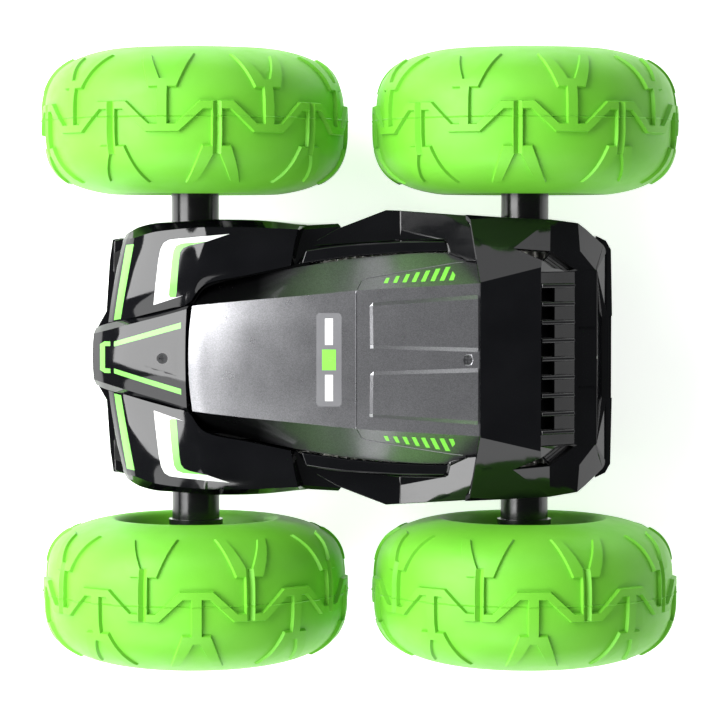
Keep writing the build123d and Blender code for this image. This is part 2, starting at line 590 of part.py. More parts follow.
def make_compound_gear():
    """Middle gear: a large fine-toothed wheel beside the gear that drives both idlers."""
    bore = PIN_R + RUNNING
    coarse = gear(0.0, AXLE_Z, TRAIN_TEETH, GEAR_MODULE, TRAIN_Y, 0.0, bore, 0.2)
    fine = gear(0.0, AXLE_Z, SPUR_TEETH, FINE_MODULE, SPUR_Y, -math.pi / 2, bore, 0.14, 0.8)
    hub = rod(0.0, AXLE_Z, 4.0, GEAR_HUB_Y) - rod(0.0, AXLE_Z, bore, (28.0, 42.0))
    return coarse + fine + hub


def make_pinion():
    phase = math.pi / 2 + math.pi / PINION_TEETH
    return gear(0.0, MOTOR_Z, PINION_TEETH, FINE_MODULE, (29.4, 33.0), phase, MOTOR_SHAFT_R, 0.2, 0.9)


def make_motor_shaft():
    """Motor shaft with its wound armature and commutator."""
    shaft = rod(0.0, MOTOR_Z, MOTOR_SHAFT_R, (MOTOR_Y[0] + 1.0, 33.2))
    armature = rod(0.0, MOTOR_Z, ARMATURE_R, (10.0, 23.0))
    for i in range(3):
        angle = math.pi / 2 + 2 * math.pi * i / 3
        x = ARMATURE_R * math.cos(angle)
        z = MOTOR_Z + ARMATURE_R * math.sin(angle)
        armature -= rod(x, z, 0.8, (9.0, 24.0))
    return shaft + armature + rod(0.0, MOTOR_Z, 2.4, (5.0, 9.0))


def make_gear_pin(x):
    return rod(x, AXLE_Z, PIN_R, (PLATE_Y[0], SIDE_WALL_Y[1]))


# ---------------------------------------------------------------- assembly
def group(solids):
    return Compound(children=list(solids))


def on_corner(part, front, left):
    """A front left piece moved to another corner."""
    if not front:
        part = Pos(-2 * AXLE_X, 0, 0) * part
    return part if left else mirrored(part)


parts = {
    "hood": make_hood(),
    "canopy": make_canopy(),
    "rear_cowl": make_rear_cowl(),
    "rear_grille": make_rear_grille(),
    "front_bumper": make_front_bumper(),
    "rear_bumper": make_rear_bumper(),
    "chassis_tub": make_tub(),
    "battery_pack": make_battery(),
    "circuit_board": make_circuit_board(),
    "switch_housing": make_switch_housing(),
    "switch_knob": make_switch_knob(),
    "battery_door": make_battery_door(),
    "battery_door_screw": make_door_screw(),
    "wiring": group(make_wiring()),
    "shell_screws": group([
        make_shell_screw(HOOD_SCREW_X, HOOD_SCREW_Z, 13.0),
        make_shell_screw(CANOPY_SCREW_X, CANOPY_SCREW_Z, 21.0),
    ]),
}

two_sided = {
    "front_fender": make_front_fender(),
    "side_pod": make_side_pod(),
    "gearbox_plate": make_gearbox_plate(),
    "motor": make_motor(),
    "motor_shaft": make_motor_shaft(),
    "pinion": make_pinion(),
    "middle_gear": make_compound_gear(),
    "idler_front": make_idler(IDLER_X),
    "idler_rear": make_idler(-IDLER_X),
}
for name, part in two_sided.items():
    parts[name + "_left"] = part
    parts[name + "_right"] = mirrored(part)

four_corners = {
    "tyre": make_tyre(),
    "rim": make_rim(),
    "hub_cap": make_hub_cap(),
    "drive_shaft": make_drive_shaft(),
    "wheel_gear": make_wheel_gear(),
    "axle_housing": make_axle_housing(),
}
bushing_pair = [make_bushing((42.8, 46.8)), make_bushing((56.0, 60.0))]
bushings, screws = [], []
for end, front in (("front", True), ("rear", False)):
    for hand, left in (("left", True), ("right", False)):
        for name, part in four_corners.items():
            if name == "wheel_gear" and not front:
                continue
            parts[f"{name}_{end}_{hand}"] = on_corner(part, front, left)
        bushings += [on_corner(ring, front, left) for ring in bushing_pair]
        screws += [on_corner(screw, front, left) for screw in make_housing_screws()]

rear_gear = mirror(make_wheel_gear(), about=Plane.YZ)
parts["wheel_gear_rear_left"] = rear_gear
parts["wheel_gear_rear_right"] = mirrored(rear_gear)
parts["axle_bushings"] = group(bushings)
parts["housing_screws"] = group(screws)
pins = [make_gear_pin(x) for x in (-IDLER_X, 0.0, IDLER_X)]
parts["gear_pins"] = group(pins + [mirrored(pin) for pin in pins])

for name, part in parts.items():
    export_step(part, f"parts/{name}.step")
print(len(parts), "parts")
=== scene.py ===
"""Looks of the radio-controlled stunt car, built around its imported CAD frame.

Lengths are written in millimetres and turned to metres as meshes are made. Only the studio and the
values marked so are in metres. +X is forward, +Y is the car's left and +Z is up, and the origin is on
the ground between the wheels.
"""

import json
import math

import bmesh
import bpy
import numpy as np
from mathutils import Matrix, Vector
from mathutils.bvhtree import BVHTree
from mathutils.geometry import delaunay_2d_cdt


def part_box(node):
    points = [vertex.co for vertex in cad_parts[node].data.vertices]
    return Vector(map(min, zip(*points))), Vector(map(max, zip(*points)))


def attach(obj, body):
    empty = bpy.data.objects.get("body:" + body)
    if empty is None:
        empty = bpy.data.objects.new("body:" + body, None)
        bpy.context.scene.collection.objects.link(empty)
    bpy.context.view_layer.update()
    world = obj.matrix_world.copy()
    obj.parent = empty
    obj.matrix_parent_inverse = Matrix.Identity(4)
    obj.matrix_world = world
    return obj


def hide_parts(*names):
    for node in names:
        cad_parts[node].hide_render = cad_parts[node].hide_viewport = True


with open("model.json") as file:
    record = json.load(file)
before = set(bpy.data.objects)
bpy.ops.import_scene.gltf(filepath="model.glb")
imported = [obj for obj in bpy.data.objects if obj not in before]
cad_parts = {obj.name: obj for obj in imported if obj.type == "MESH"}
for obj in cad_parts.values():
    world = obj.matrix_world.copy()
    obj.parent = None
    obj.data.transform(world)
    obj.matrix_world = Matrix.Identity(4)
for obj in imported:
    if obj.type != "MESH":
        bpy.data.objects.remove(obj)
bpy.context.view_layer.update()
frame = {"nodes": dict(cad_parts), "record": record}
NODES = frame["nodes"]
MM = 0.001
SIDES = (("left", 1), ("right", -1))
CORNERS = [(end, hand) for end in ("front", "rear") for hand in ("left", "right")]


def node_box(name):
    """The lowest and highest corner of a CAD node, in millimetres."""
    return [[c / MM for c in corner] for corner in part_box(name)]


def node_centre(name):
    return [(low + high) / 2 for low, high in zip(*node_box(name))]


TYRE_LOW, TYRE_HIGH = node_box("tyre_front_left")
TYRE_R = (TYRE_HIGH[2] - TYRE_LOW[2]) / 2
OUTER_REACH = 25.3       # from the wheel's middle plane to the tyre's outer wall
INNER_REACH = 26.0
WHEEL_Y = TYRE_HIGH[1] - OUTER_REACH


# ---------------------------------------------------------------- mesh tools
def new_object(name, points, faces, material, smooth_angle=30.0):
    """A mesh object from points in millimetres."""
    mesh = bpy.data.meshes.new(name)
    mesh.from_pydata([[c * MM for c in p] for p in points], [], faces)
    mesh.validate()
    mesh.shade_smooth()
    mesh.set_sharp_from_angle(angle=math.radians(smooth_angle))
    mesh.materials.append(material)
    obj = bpy.data.objects.new(name, mesh)
    bpy.context.scene.collection.objects.link(obj)
    return obj


def bevel(obj, width, angle=28.0):
    """Rounds the edges that turn by more than the angle, in degrees."""
    mod = obj.modifiers.new("rounded edges", "BEVEL")
    mod.width = width * MM
    mod.segments = 2
    mod.limit_method = "ANGLE"
    mod.angle_limit = math.radians(angle)
    mod.harden_normals = True


def thicken(obj, thickness):
    """Gives a surface an inner wall, and leaves its outer face where it is."""
    mod = obj.modifiers.new("wall", "SOLIDIFY")
    mod.thickness = thickness * MM
    mod.offset = -1
    mod.use_even_offset = True


def mirrored(points, faces):
    """The same mesh on the other side of the car's centre plane."""
    return [(x, -y, z) for x, y, z in points], [tuple(reversed(face)) for face in faces]


def welded(points, faces, distance=0.02):
    """Joins points that lie on each other."""
    bm = bmesh.new()
    verts = [bm.verts.new(p) for p in points]
    for face in faces:
        corners = [verts[i] for i in face]
        if len(set(corners)) > 2:
            bm.faces.new(corners)
    bmesh.ops.remove_doubles(bm, verts=bm.verts, dist=distance)
    bmesh.ops.dissolve_degenerate(bm, edges=bm.edges, dist=distance / 2)
    bm.verts.index_update()
    points = [tuple(v.co) for v in bm.verts]
    faces = [tuple(v.index for v in f.verts) for f in bm.faces]
    bm.free()
    return points, faces


def curve_through(a, b, c, d, t):
    """Point between b and c on the smooth curve through four points."""
    result = []
    for p, q, r, s in zip(a, b, c, d):
        result.append(0.5 * (2 * q + (r - p) * t + (2 * p - 5 * q + 4 * r - s) * t * t
                             + (3 * q - p - 3 * r + s) * t ** 3))
    return tuple(result)


def row_beyond(end_row, next_row):
    """A row as far beyond the end one as the next one is before it."""
    return [tuple(2 * u - v for u, v in zip(p, q)) for p, q in zip(end_row, next_row)]


def smooth_rows(rows, steps):
    """More rows between the given ones, on smooth curves along each column."""
    result = []
    padded = [row_beyond(rows[0], rows[1]), *rows, row_beyond(rows[-1], rows[-2])]
    for around in zip(padded, padded[1:], padded[2:], padded[3:]):
        for step in range(steps):
            result.append([curve_through(*four, step / steps) for four in zip(*around)])
    return result + [rows[-1]]


def grid_faces(row_count, column_count):
    """Quads between points that are counted row by row."""
    faces = []
    for i in range(row_count - 1):
        for j in range(column_count - 1):
            a = i * column_count + j
            faces.append((a, a + column_count, a + column_count + 1, a + 1))
    return faces


def transposed(rows):
    return [list(column) for column in zip(*rows)]


def whole_width(half_rows):
    """Rows across the whole car from rows that run from the left edge to the centre plane."""
    return [[*row, *[(x, -y, z) for x, y, z in reversed(row) if y > 0]] for row in half_rows]


def refined(rows, steps, sharp=()):
    """Rows on smooth curves, which may turn a corner only at the sharp ones."""
    cuts = [0, *sorted(sharp), len(rows) - 1]
    result = []
    for first, last in zip(cuts, cuts[1:]):
        if last > first:
            result = result[:-1] + smooth_rows(rows[first:last + 1], steps)
    return result


def surface(rows, row_steps, column_steps, sharp_rows=(), sharp_columns=()):
    """Points and quads of a smooth surface through a net of points."""
    dense = refined(rows, row_steps, sharp_rows)
    dense = transposed(refined(transposed(dense), column_steps, sharp_columns))
    points = [p for row in dense for p in row]
    return points, grid_faces(len(dense), len(dense[0]))


# ---------------------------------------------------------------- materials
def node_material(name):
    """A new material with its node tree, its shader and the object's own coordinates."""
    mat = bpy.data.materials.new(name)
    mat.use_nodes = True
    tree = mat.node_tree
    shader = tree.nodes["Principled BSDF"]
    coords = tree.nodes.new("ShaderNodeTexCoord")
    return mat, tree, shader, coords.outputs["Object"]


def noise(tree, coords, scale, detail=3.0, stretch=None):
    """A noise value over the object, with its scale in cells per metre."""
    if stretch:
        mapping = tree.nodes.new("ShaderNodeMapping")
        mapping.inputs["Scale"].default_value = stretch
        tree.links.new(coords, mapping.inputs["Vector"])
        coords = mapping.outputs["Vector"]
    node = tree.nodes.new("ShaderNodeTexNoise")
    node.inputs["Scale"].default_value = scale
    node.inputs["Detail"].default_value = detail
    tree.links.new(coords, node.inputs["Vector"])
    return node.outputs["Fac"]


def ranged(tree, value, low, high, start=0.3, end=0.7):
    """Maps a value from start..end to low..high."""
    node = tree.nodes.new("ShaderNodeMapRange")
    node.inputs["From Min"].default_value = start
    node.inputs["From Max"].default_value = end
    node.inputs["To Min"].default_value = low
    node.inputs["To Max"].default_value = high
    tree.links.new(value, node.inputs["Value"])
    return node.outputs["Result"]


def mixed(tree, factor, a, b):
    """A colour between a (at factor 0) and b (at factor 1)."""
    node = tree.nodes.new("ShaderNodeMix")
    node.data_type = "RGBA"
    node.inputs[6].default_value = (*a, 1)
    node.inputs[7].default_value = (*b, 1)
    tree.links.new(factor, node.inputs[0])
    return node.outputs[2]


def part_of(tree, vector, axis):
    """One coordinate of a vector."""
    node = tree.nodes.new("ShaderNodeSeparateXYZ")
    tree.links.new(vector, node.inputs["Vector"])
    return node.outputs[axis]


def bump(tree, shader, height, strength, distance):
    """Makes the shader's surface uneven, with the distance in millimetres."""
    node = tree.nodes.new("ShaderNodeBump")
    node.inputs["Strength"].default_value = strength
    node.inputs["Distance"].default_value = distance * MM
    tree.links.new(height, node.inputs["Height"])
    tree.links.new(node.outputs["Normal"], shader.inputs["Normal"])


DRIFT_SCALE = 60         # cells per metre
SMEAR_SCALE = 140


def moulded(name, dark, light, roughness, grain, grain_height, metallic=0.0, specular=0.5):
    """A finish whose colour drifts between two tones, and whose gloss varies a little."""
    mat, tree, shader, coords = node_material(name)
    drift = noise(tree, coords, DRIFT_SCALE)
    tree.links.new(mixed(tree, ranged(tree, drift, 0, 1), dark, light), shader.inputs["Base Color"])
    smears = noise(tree, coords, SMEAR_SCALE, detail=4.0, stretch=(1.0, 1.6, 1.0))
    tree.links.new(ranged(tree, smears, *roughness), shader.inputs["Roughness"])
    bump(tree, shader, noise(tree, coords, grain), 0.5, grain_height)
    shader.inputs["Metallic"].default_value = metallic
    shader.inputs["Specular IOR Level"].default_value = specular
    mat.diffuse_color = (*light, 1)
    return mat


# Slot or film: name, darker and lighter tone, range of roughness, grain in cells per metre and its
# height, and then the metallic and specular levels where they aren't 0 and 0.5.
FINISHES = {
    "green_tyre": ("green_vinyl", (0.139, 0.500, 0.027), (0.160, 0.535, 0.034), (0.44, 0.54), 700, 0.05,
                   0.0, 0.35),
    "black_gloss": ("black_gloss_abs", (0.0025, 0.0026, 0.0034), (0.0045, 0.0046, 0.0056), (0.05, 0.09),
                    500, 0.004),
    "black_satin": ("black_satin_abs", (0.006, 0.006, 0.0065), (0.011, 0.011, 0.012), (0.34, 0.46),
                    2600, 0.05),
    "cap_silver": ("cap_silver", (0.40, 0.41, 0.42), (0.48, 0.49, 0.50), (0.24, 0.34), 3000, 0.01, 0.85),
    "white_nylon": ("natural_nylon", (0.66, 0.65, 0.60), (0.74, 0.73, 0.69), (0.36, 0.46), 1500, 0.02),
    "shaft_steel": ("ground_steel", (0.50, 0.50, 0.51), (0.58, 0.58, 0.59), (0.22, 0.32), 4000, 0.01, 1.0),
    "screw_steel": ("blackened_steel", (0.34, 0.34, 0.35), (0.46, 0.46, 0.47), (0.25, 0.38), 4000, 0.01, 1.0),
    "brass": ("turned_brass", (0.58, 0.40, 0.14), (0.68, 0.49, 0.20), (0.24, 0.36), 4000, 0.01, 1.0),
    "motor_can": ("nickel_plate", (0.52, 0.52, 0.52), (0.62, 0.62, 0.62), (0.20, 0.34), 3000, 0.01, 1.0),
    "battery_wrap": ("blue_shrink_wrap", (0.015, 0.08, 0.34), (0.025, 0.11, 0.42), (0.20, 0.34), 500, 0.05),
    "board_green": ("solder_mask", (0.010, 0.13, 0.040), (0.018, 0.19, 0.060), (0.25, 0.38), 1600, 0.03),
    "switch_plastic": ("switch_grey", (0.05, 0.05, 0.05), (0.08, 0.08, 0.08), (0.40, 0.52), 2600, 0.04),
    "wire_red": ("red_insulation", (0.36, 0.010, 0.010), (0.46, 0.020, 0.016), (0.38, 0.50), 1500, 0.02),
    "film_white": ("white_print", (0.82, 0.82, 0.82), (0.88, 0.88, 0.88), (0.16, 0.24), 600, 0.004),
    "film_green": ("green_print", (0.18, 0.55, 0.10), (0.21, 0.60, 0.12), (0.16, 0.24), 600, 0.004),
    "film_clear": ("pale_print", (0.17, 0.17, 0.18), (0.20, 0.20, 0.21), (0.14, 0.20), 600, 0.004),
    "film_lime": ("lime_print", (0.22, 0.72, 0.08), (0.26, 0.78, 0.10), (0.20, 0.28), 600, 0.004),
    "tube_black": ("tube_black", (0.0035, 0.0035, 0.004), (0.006, 0.006, 0.0065), (0.16, 0.24), 900, 0.01),
}
FLAKE_SCALE = 4200                       # flakes per metre
FLAKE_TONES = ((0.21, 0.21, 0.22), (0.30, 0.30, 0.315))
# Painted shade: the canopy's flanks darken towards this tone where they turn away from above, most towards
# the nose, in place of a dark reflection.
PAINTED_SHADE_TONE = (0.008, 0.008, 0.009)
FLANK_SHADE_RANGE = (0.78, 0.86)                # upward part of the normal: painted shade below, silver above
NOSE_SHADE_RANGE = (0.012, 0.036)               # metres in front of the origin: where the painted shade is weakest and strongest
WEAKEST_NOSE_SHADE = 0.25


def silver_paint():
    """Metallic silver flakes under a thin clear coat. The canopy's flanks carry a painted shade that darkens
    them towards the nose, in place of the dark reflection they show there.
    """
    mat, tree, shader, coords = node_material("metallic_silver")
    cells = tree.nodes.new("ShaderNodeTexVoronoi")
    cells.inputs["Scale"].default_value = FLAKE_SCALE
    tree.links.new(coords, cells.inputs["Vector"])
    split = tree.nodes.new("ShaderNodeSeparateColor")
    tree.links.new(cells.outputs["Color"], split.inputs["Color"])
    facing = tree.nodes.new("ShaderNodeTexCoord").outputs["Normal"]
    # painted shade: darker where the surface turns away from above, and stronger towards the nose
    flank_shade = ranged(tree, part_of(tree, facing, "Z"), 1.0, 0.0, *FLANK_SHADE_RANGE)
    nose = ranged(tree, part_of(tree, coords, "X"), WEAKEST_NOSE_SHADE, 1.0, *NOSE_SHADE_RANGE)
    painted_shade = tree.nodes.new("ShaderNodeMath")
    painted_shade.operation = "MULTIPLY"
    tree.links.new(flank_shade, painted_shade.inputs[0])
    tree.links.new(nose, painted_shade.inputs[1])
    flakes = mixed(tree, split.outputs["Red"], *FLAKE_TONES)
    flakes_and_shade = mixed(tree, painted_shade.outputs["Value"], (0, 0, 0), PAINTED_SHADE_TONE)
    tree.links.new(flakes, flakes_and_shade.node.inputs[6])
    tree.links.new(flakes_and_shade, shader.inputs["Base Color"])
    tree.links.new(ranged(tree, noise(tree, coords, 120), 0.27, 0.31), shader.inputs["Roughness"])
    bump(tree, shader, split.outputs["Green"], 0.10, 0.01)
    shader.inputs["Metallic"].default_value = 0.78
    shader.inputs["Coat Weight"].default_value = 0.25
    shader.inputs["Coat Roughness"].default_value = 0.08
    return mat


MATERIALS = {finish: moulded(*values) for finish, values in FINISHES.items()}
MATERIALS["silver_paint"] = silver_paint()


def paint_frame():
    """Gives every CAD node the finish of its material slot, and the axle tubes one of their own."""
    for entry in frame["record"]["subparts"]:
        obj = NODES[entry["node"]]
        finish = "tube_black" if entry["node"].startswith("axle_housing") else entry["material_slot"]
        obj.data.materials.clear()
        obj.data.materials.append(MATERIALS[finish])


# ---------------------------------------------------------------- tyres
PITCHES = 9              # tread pattern repeats
BAR_HEIGHT = 1.38
CROWN_R = TYRE_R - BAR_HEIGHT
PITCH = 2 * math.pi * CROWN_R / PITCHES
PARTING_Y = 0.0          # from the wheel's middle plane to the mould's parting line
SHOULDERS = ((-1, INNER_REACH, 3.6), (1, OUTER_REACH, 3.2))      # side, reach and squareness
LIP_R = 30.0
RIM_SEAT_R = 27.03
SECTION_STEPS = 70       # on each side of the crown
RING_OFFSETS = (0.25, -0.15, -0.4)       # foot, top and inner line of a tread bar's edge
FLASH_HEIGHT = 0.3
FLASH_HALF_WIDTH = 0.28
SKIN_ROWS = 72
SKIN_COLUMNS = 26
LINE_CLEARANCE = 0.5     # no other skin points lie this close to a tread line
HALF_PITCH = PITCH / 2
REPEATS = (-PITCH, 0, PITCH)
TREAD_PHASES = {("front", "left"): -3.3, ("front", "right"): 8.9, ("rear", "left"): -0.5,
                ("rear", "right"): -14.3}


def half_section(side, reach, power):
    """The skin's section from the crown to one bead, as (offset, radius)."""
    end = math.acos((LIP_R / CROWN_R) ** (power / 2))
    width = reach / math.sin(end) ** (2 / power)
    bulge = []
    for i in range(SECTION_STEPS + 1):
        t = end * i / SECTION_STEPS
        bulge.append((side * width * math.sin(t) ** (2 / power), CROWN_R * math.cos(t) ** (2 / power)))
    lip = [(reach - 0.25, 29.2), (reach - 0.8, 28.5), (reach - 1.8, 28.0), (19.6, 27.4), (19.4, RIM_SEAT_R)]
    return bulge + [(side * a, r) for a, r in lip]


def tyre_section():
    """The skin's section from the inner bead over the crown to the outer bead."""
    inner, outer = (half_section(*shoulder) for shoulder in SHOULDERS)
    return inner[::-1] + outer[1:]


class Section:
    """Places on the tyre's skin by their distance along the section from the parting line."""

    def __init__(self):
        self.points = np.array(tyre_section())
        steps = np.linalg.norm(np.diff(self.points, axis=0), axis=1)
        along = np.concatenate([[0], np.cumsum(steps)])
        bulge = slice(5, len(along) - 5)         # without the lips
        self.v = along - np.interp(PARTING_Y, self.points[bulge, 0], along[bulge])

    def on_skin(self, v):
        return [np.interp(v, self.v, column) for column in self.points.T]

    def at(self, v, height):
        """Offset from the middle plane and radius, at a height above the skin."""
        reach = 0.4
        a, r = self.on_skin(v)
        (a0, r0), (a1, r1) = self.on_skin(v - reach), self.on_skin(v + reach)
        length = np.hypot(a1 - a0, r1 - r0)
        return a - (r1 - r0) / length * height, r + (a1 - a0) / length * height


def tread_edge():
    """One pitch of the tread's upper edge: zigzag bar, stem and two-legged fork."""
    left = [(-HALF_PITCH, 5.2), (5.7 - HALF_PITCH, 5.2), (-4.6, -2.5), (-1.8, -2.5), (-1.8, 9.9), (-4.9, 9.9),
            (-11.0, 25.2), (-6.9, 24.2), (-1.2, 12.8)]
    return left + [(0, 12.8)] + [(-u, v) for u, v in reversed(left)]


def subdivided(line, step=1.3, whole=round):
    """The line with more points, so that it bends with the surface under it."""
    result = []
    for (u0, v0), (u1, v1) in zip(line, line[1:]):
        pieces = max(1, whole(math.hypot(u1 - u0, v1 - v0) / step))
        result += [(u0 + (u1 - u0) * k / pieces, v0 + (v1 - v0) * k / pieces) for k in range(pieces)]
    return result + [line[-1]]


def offset_line(points, distance):
    """The line moved by a distance away from the tread bar it bounds."""
    moved = []
    for i, (u, v) in enumerate(points):
        normals = []
        for a, b in ((i - 1, i), (i, i + 1)):
            if a >= 0 and b < len(points):
                du, dv = points[b][0] - points[a][0], points[b][1] - points[a][1]
                length = math.hypot(du, dv)
                normals.append((-dv / length, du / length))
        nu = sum(n[0] for n in normals) / len(normals)
        nv = sum(n[1] for n in normals) / len(normals)
        scale = distance / (nu * nu + nv * nv)
        moved.append((u + nu * scale, v + nv * scale))
    return moved


def opposite_edge(points):
    """The tread's lower edge: the upper one turned over and half a pitch along."""
    before = [(u - HALF_PITCH, -v) for u, v in points if u >= 0]
    after = [(u + HALF_PITCH, -v) for u, v in points if u <= 0]
    return before + after[1:]


def distance_to(line, points, shifts=(0,)):
    """Distance of each point to the nearest of a line's copies, shifted along the first axis."""
    best = np.full(len(points), np.inf)
    for shift in shifts:
        for (u0, v0), (u1, v1) in zip(line, line[1:]):
            a = np.array([u0 + shift, v0])
            d = np.array([u1 - u0, v1 - v0])
            t = np.clip((points - a) @ d / (d @ d), 0, 1)
            best = np.minimum(best, np.linalg.norm(points - a - t[:, None] * d, axis=1))
    return best


def inside(polygon, points):
    """Which of the points lie within the polygon."""
    hit = np.zeros(len(points), bool)
    for (u0, v0), (u1, v1) in zip(polygon, polygon[1:] + polygon[:1]):
        if v0 != v1:
            crosses = (v0 > points[:, 1]) != (v1 > points[:, 1])
            hit ^= crosses & (points[:, 0] < (u1 - u0) * (points[:, 1] - v0) / (v1 - v0) + u0)
    return hit


def bar_height(points):
    """How far the tread stands proud at each point."""
    upper = tread_edge()
    lower = opposite_edge(upper)
    distance = np.minimum(*(distance_to(edge, points, REPEATS) for edge in (upper, lower)))
    signed = np.where(inside(upper + lower[::-1], points), distance, -distance)
    foot, top, _ = RING_OFFSETS
    rise = np.clip((signed + foot) / (foot - top), 0, 1)
    across = np.abs(points[:, 1])
    full = np.interp(across, [0, 6, 14, 20, 26], [BAR_HEIGHT, BAR_HEIGHT, 1.1, 0.95, 0.7])
    return full * rise + np.where(across < 0.05, FLASH_HEIGHT, 0.0)


def tread_sector(section):
    """One pitch of the skin, flat, as points (along, across), triangles and heights."""
    half = HALF_PITCH
    v_low, v_high = section.v[0], section.v[-1]
    levels = np.linspace(v_low, v_high, SKIN_ROWS)
    edge = tread_edge()
    lines = []
    for offset in RING_OFFSETS:
        moved = offset_line(edge, offset)
        lines += [subdivided(moved), subdivided(opposite_edge(moved))]
    for v in (-FLASH_HALF_WIDTH, 0.0, FLASH_HALF_WIDTH):
        lines.append(subdivided([(-half, v), (half, v)]))
    across = sorted(set(levels.tolist()) | {line[0][1] for line in lines})
    verts, edges = [], []
    for line in [[(side, v) for v in across] for side in (-half, half)] + lines:
        start = len(verts)
        verts += line
        edges += [(i, i + 1) for i in range(start, len(verts) - 1)]
    columns = [half * (2 * i / SKIN_COLUMNS - 1) for i in range(SKIN_COLUMNS + 1)]
    sample = np.array([(u, v) for u in columns for v in levels])
    near = np.min([distance_to(line, sample, REPEATS) for line in lines], axis=0) < LINE_CLEARANCE
    at_side = np.abs(sample[:, 0]) > half - 1e-6
    at_end = (sample[:, 1] < v_low + 1e-6) | (sample[:, 1] > v_high - 1e-6)
    verts += [tuple(p) for p in sample[(~near | at_end) & ~at_side]]
    out = delaunay_2d_cdt([Vector(p) for p in verts], edges, [], 0, 1e-4)
    flat = np.array([tuple(p) for p in out[0]])
    return flat, out[2], bar_height(flat)


def tyre_mesh(section, sector, centre, outward, phase):
    """A balloon tyre. outward is 1 on the left of the car, and phase turns the tread, in degrees."""
    flat, triangles, heights = sector
    x, y, z = centre
    points, faces = [], []
    a, r = section.at(flat[:, 1], heights)
    for k in range(PITCHES):
        angle = flat[:, 0] / CROWN_R + 2 * math.pi * k / PITCHES + math.radians(phase)
        start = len(points)
        points += list(zip(x + r * np.sin(angle), y + outward * a, z + r * np.cos(angle)))
        faces += [tuple(start + i for i in (t if outward > 0 else t[::-1])) for t in triangles]
    return welded(points, faces)


def make_tyres():
    """The four tyre skins, in place of the plain CAD tyres."""
    section = Section()
    sector = tread_sector(section)
    for end, hand in CORNERS:
        name = f"tyre_{end}_{hand}"
        outward = 1 if hand == "left" else -1
        x, _, z = node_centre(name)
        mesh = tyre_mesh(section, sector, (x, outward * WHEEL_Y, z), outward, TREAD_PHASES[end, hand])
        obj = new_object(f"{name}_skin", *mesh, MATERIALS["green_tyre"], 34.0)
        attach(obj, f"wheel_{end}_{hand}")
        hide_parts(name)


# ---------------------------------------------------------------- body shells
def shell_piece(name, points, faces, slot_name, node=None, wall=None, edge=None, smooth=30.0):
    """A fixed piece of the body, with the wall and rounded edges of a moulding."""
    obj = new_object(name, points, faces, MATERIALS[slot_name], smooth)
    if wall:
        thicken(obj, wall)
    if edge:
        bevel(obj, edge, angle=min(28.0, smooth))
    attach(obj, "chassis")
    if node:
        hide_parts(node)
    return obj


def both_hands(name, points, faces, slot_name, node=None, **finish):
    """The same piece on the left and on the right."""
    made = []
    for hand, side in SIDES:
        mesh = (points, faces) if side > 0 else mirrored(points, faces)
        made.append(shell_piece(f"{name}_{hand}", *mesh, slot_name, node and f"{node}_{hand}", **finish))
    return made


# Rows from front to rear, each from the left edge to the centre plane.
CANOPY_ROWS = [
    [(58.8, 19.3, 64.6), (58.9, 19.4, 67), (59, 18.5, 76), (60, 9.5, 77.2), (60.3, 0, 77.6)],
    [(53.9, 24.9, 65), (54, 25, 67.4), (54, 19.1, 77.9), (54, 9.8, 79), (54, 0, 79.4)],
    [(40, 28.4, 66.6), (40, 28.6, 69), (40, 20.5, 81.2), (40, 10.5, 82.4), (40, 0, 82.8)],
    [(20, 32.2, 71.2), (20, 32.4, 74), (20, 22.3, 84.6), (20, 11.4, 85.7), (20, 0, 86.1)],
    [(0, 35.2, 71.6), (0, 35.4, 74.4), (0, 24.2, 86.3), (0, 12.4, 87.3), (0, 0, 87.7)],
    [(-20, 36.8, 71.6), (-20, 37, 74.4), (-20, 25.4, 87), (-20, 13, 87.9), (-20, 0, 88.3)],
    [(-31.6, 37, 71.4), (-31.6, 37.2, 74.2), (-31.6, 26.1, 87), (-31.6, 13.2, 87.8), (-31.6, 0, 88.2)],
    [(-37, 34.8, 73), (-37, 35, 76), (-37, 26.4, 86.9), (-37, 13.3, 87.7), (-37, 0, 88.1)],
    [(-41.9, 33.2, 74.6), (-41.9, 33.4, 77.5), (-41.9, 26.7, 86.7), (-41.9, 13.4, 87.5), (-41.9, 0, 87.8)],
]
HOOD_ROWS = [
    [(94.4, 10.3, 51.8), (94.6, 10.2, 55.5), (95.2, 8.2, 58.2), (95.5, 4.2, 58.9), (95.6, 0, 59.1)],
    [(91, 11.7, 55), (91, 11.6, 59), (91, 9.3, 62.4), (91, 4.7, 63.4), (91, 0, 63.7)],
    [(84, 13.4, 59.4), (84, 13.3, 63.4), (84, 11.2, 67), (84, 5.6, 68.2), (84, 0, 68.6)],
    [(76, 15.1, 63), (76, 15, 67), (76, 13.3, 70.6), (76, 6.7, 72), (76, 0, 72.4)],
    [(68, 17, 66.4), (68, 16.9, 70.4), (68, 15.4, 73.6), (68, 7.7, 75), (68, 0, 75.4)],
    [(60.2, 18.9, 69.4), (60.2, 18.8, 73.4), (61, 17.4, 76.1), (61.3, 8.8, 77.4), (61.4, 0, 77.8)],
]
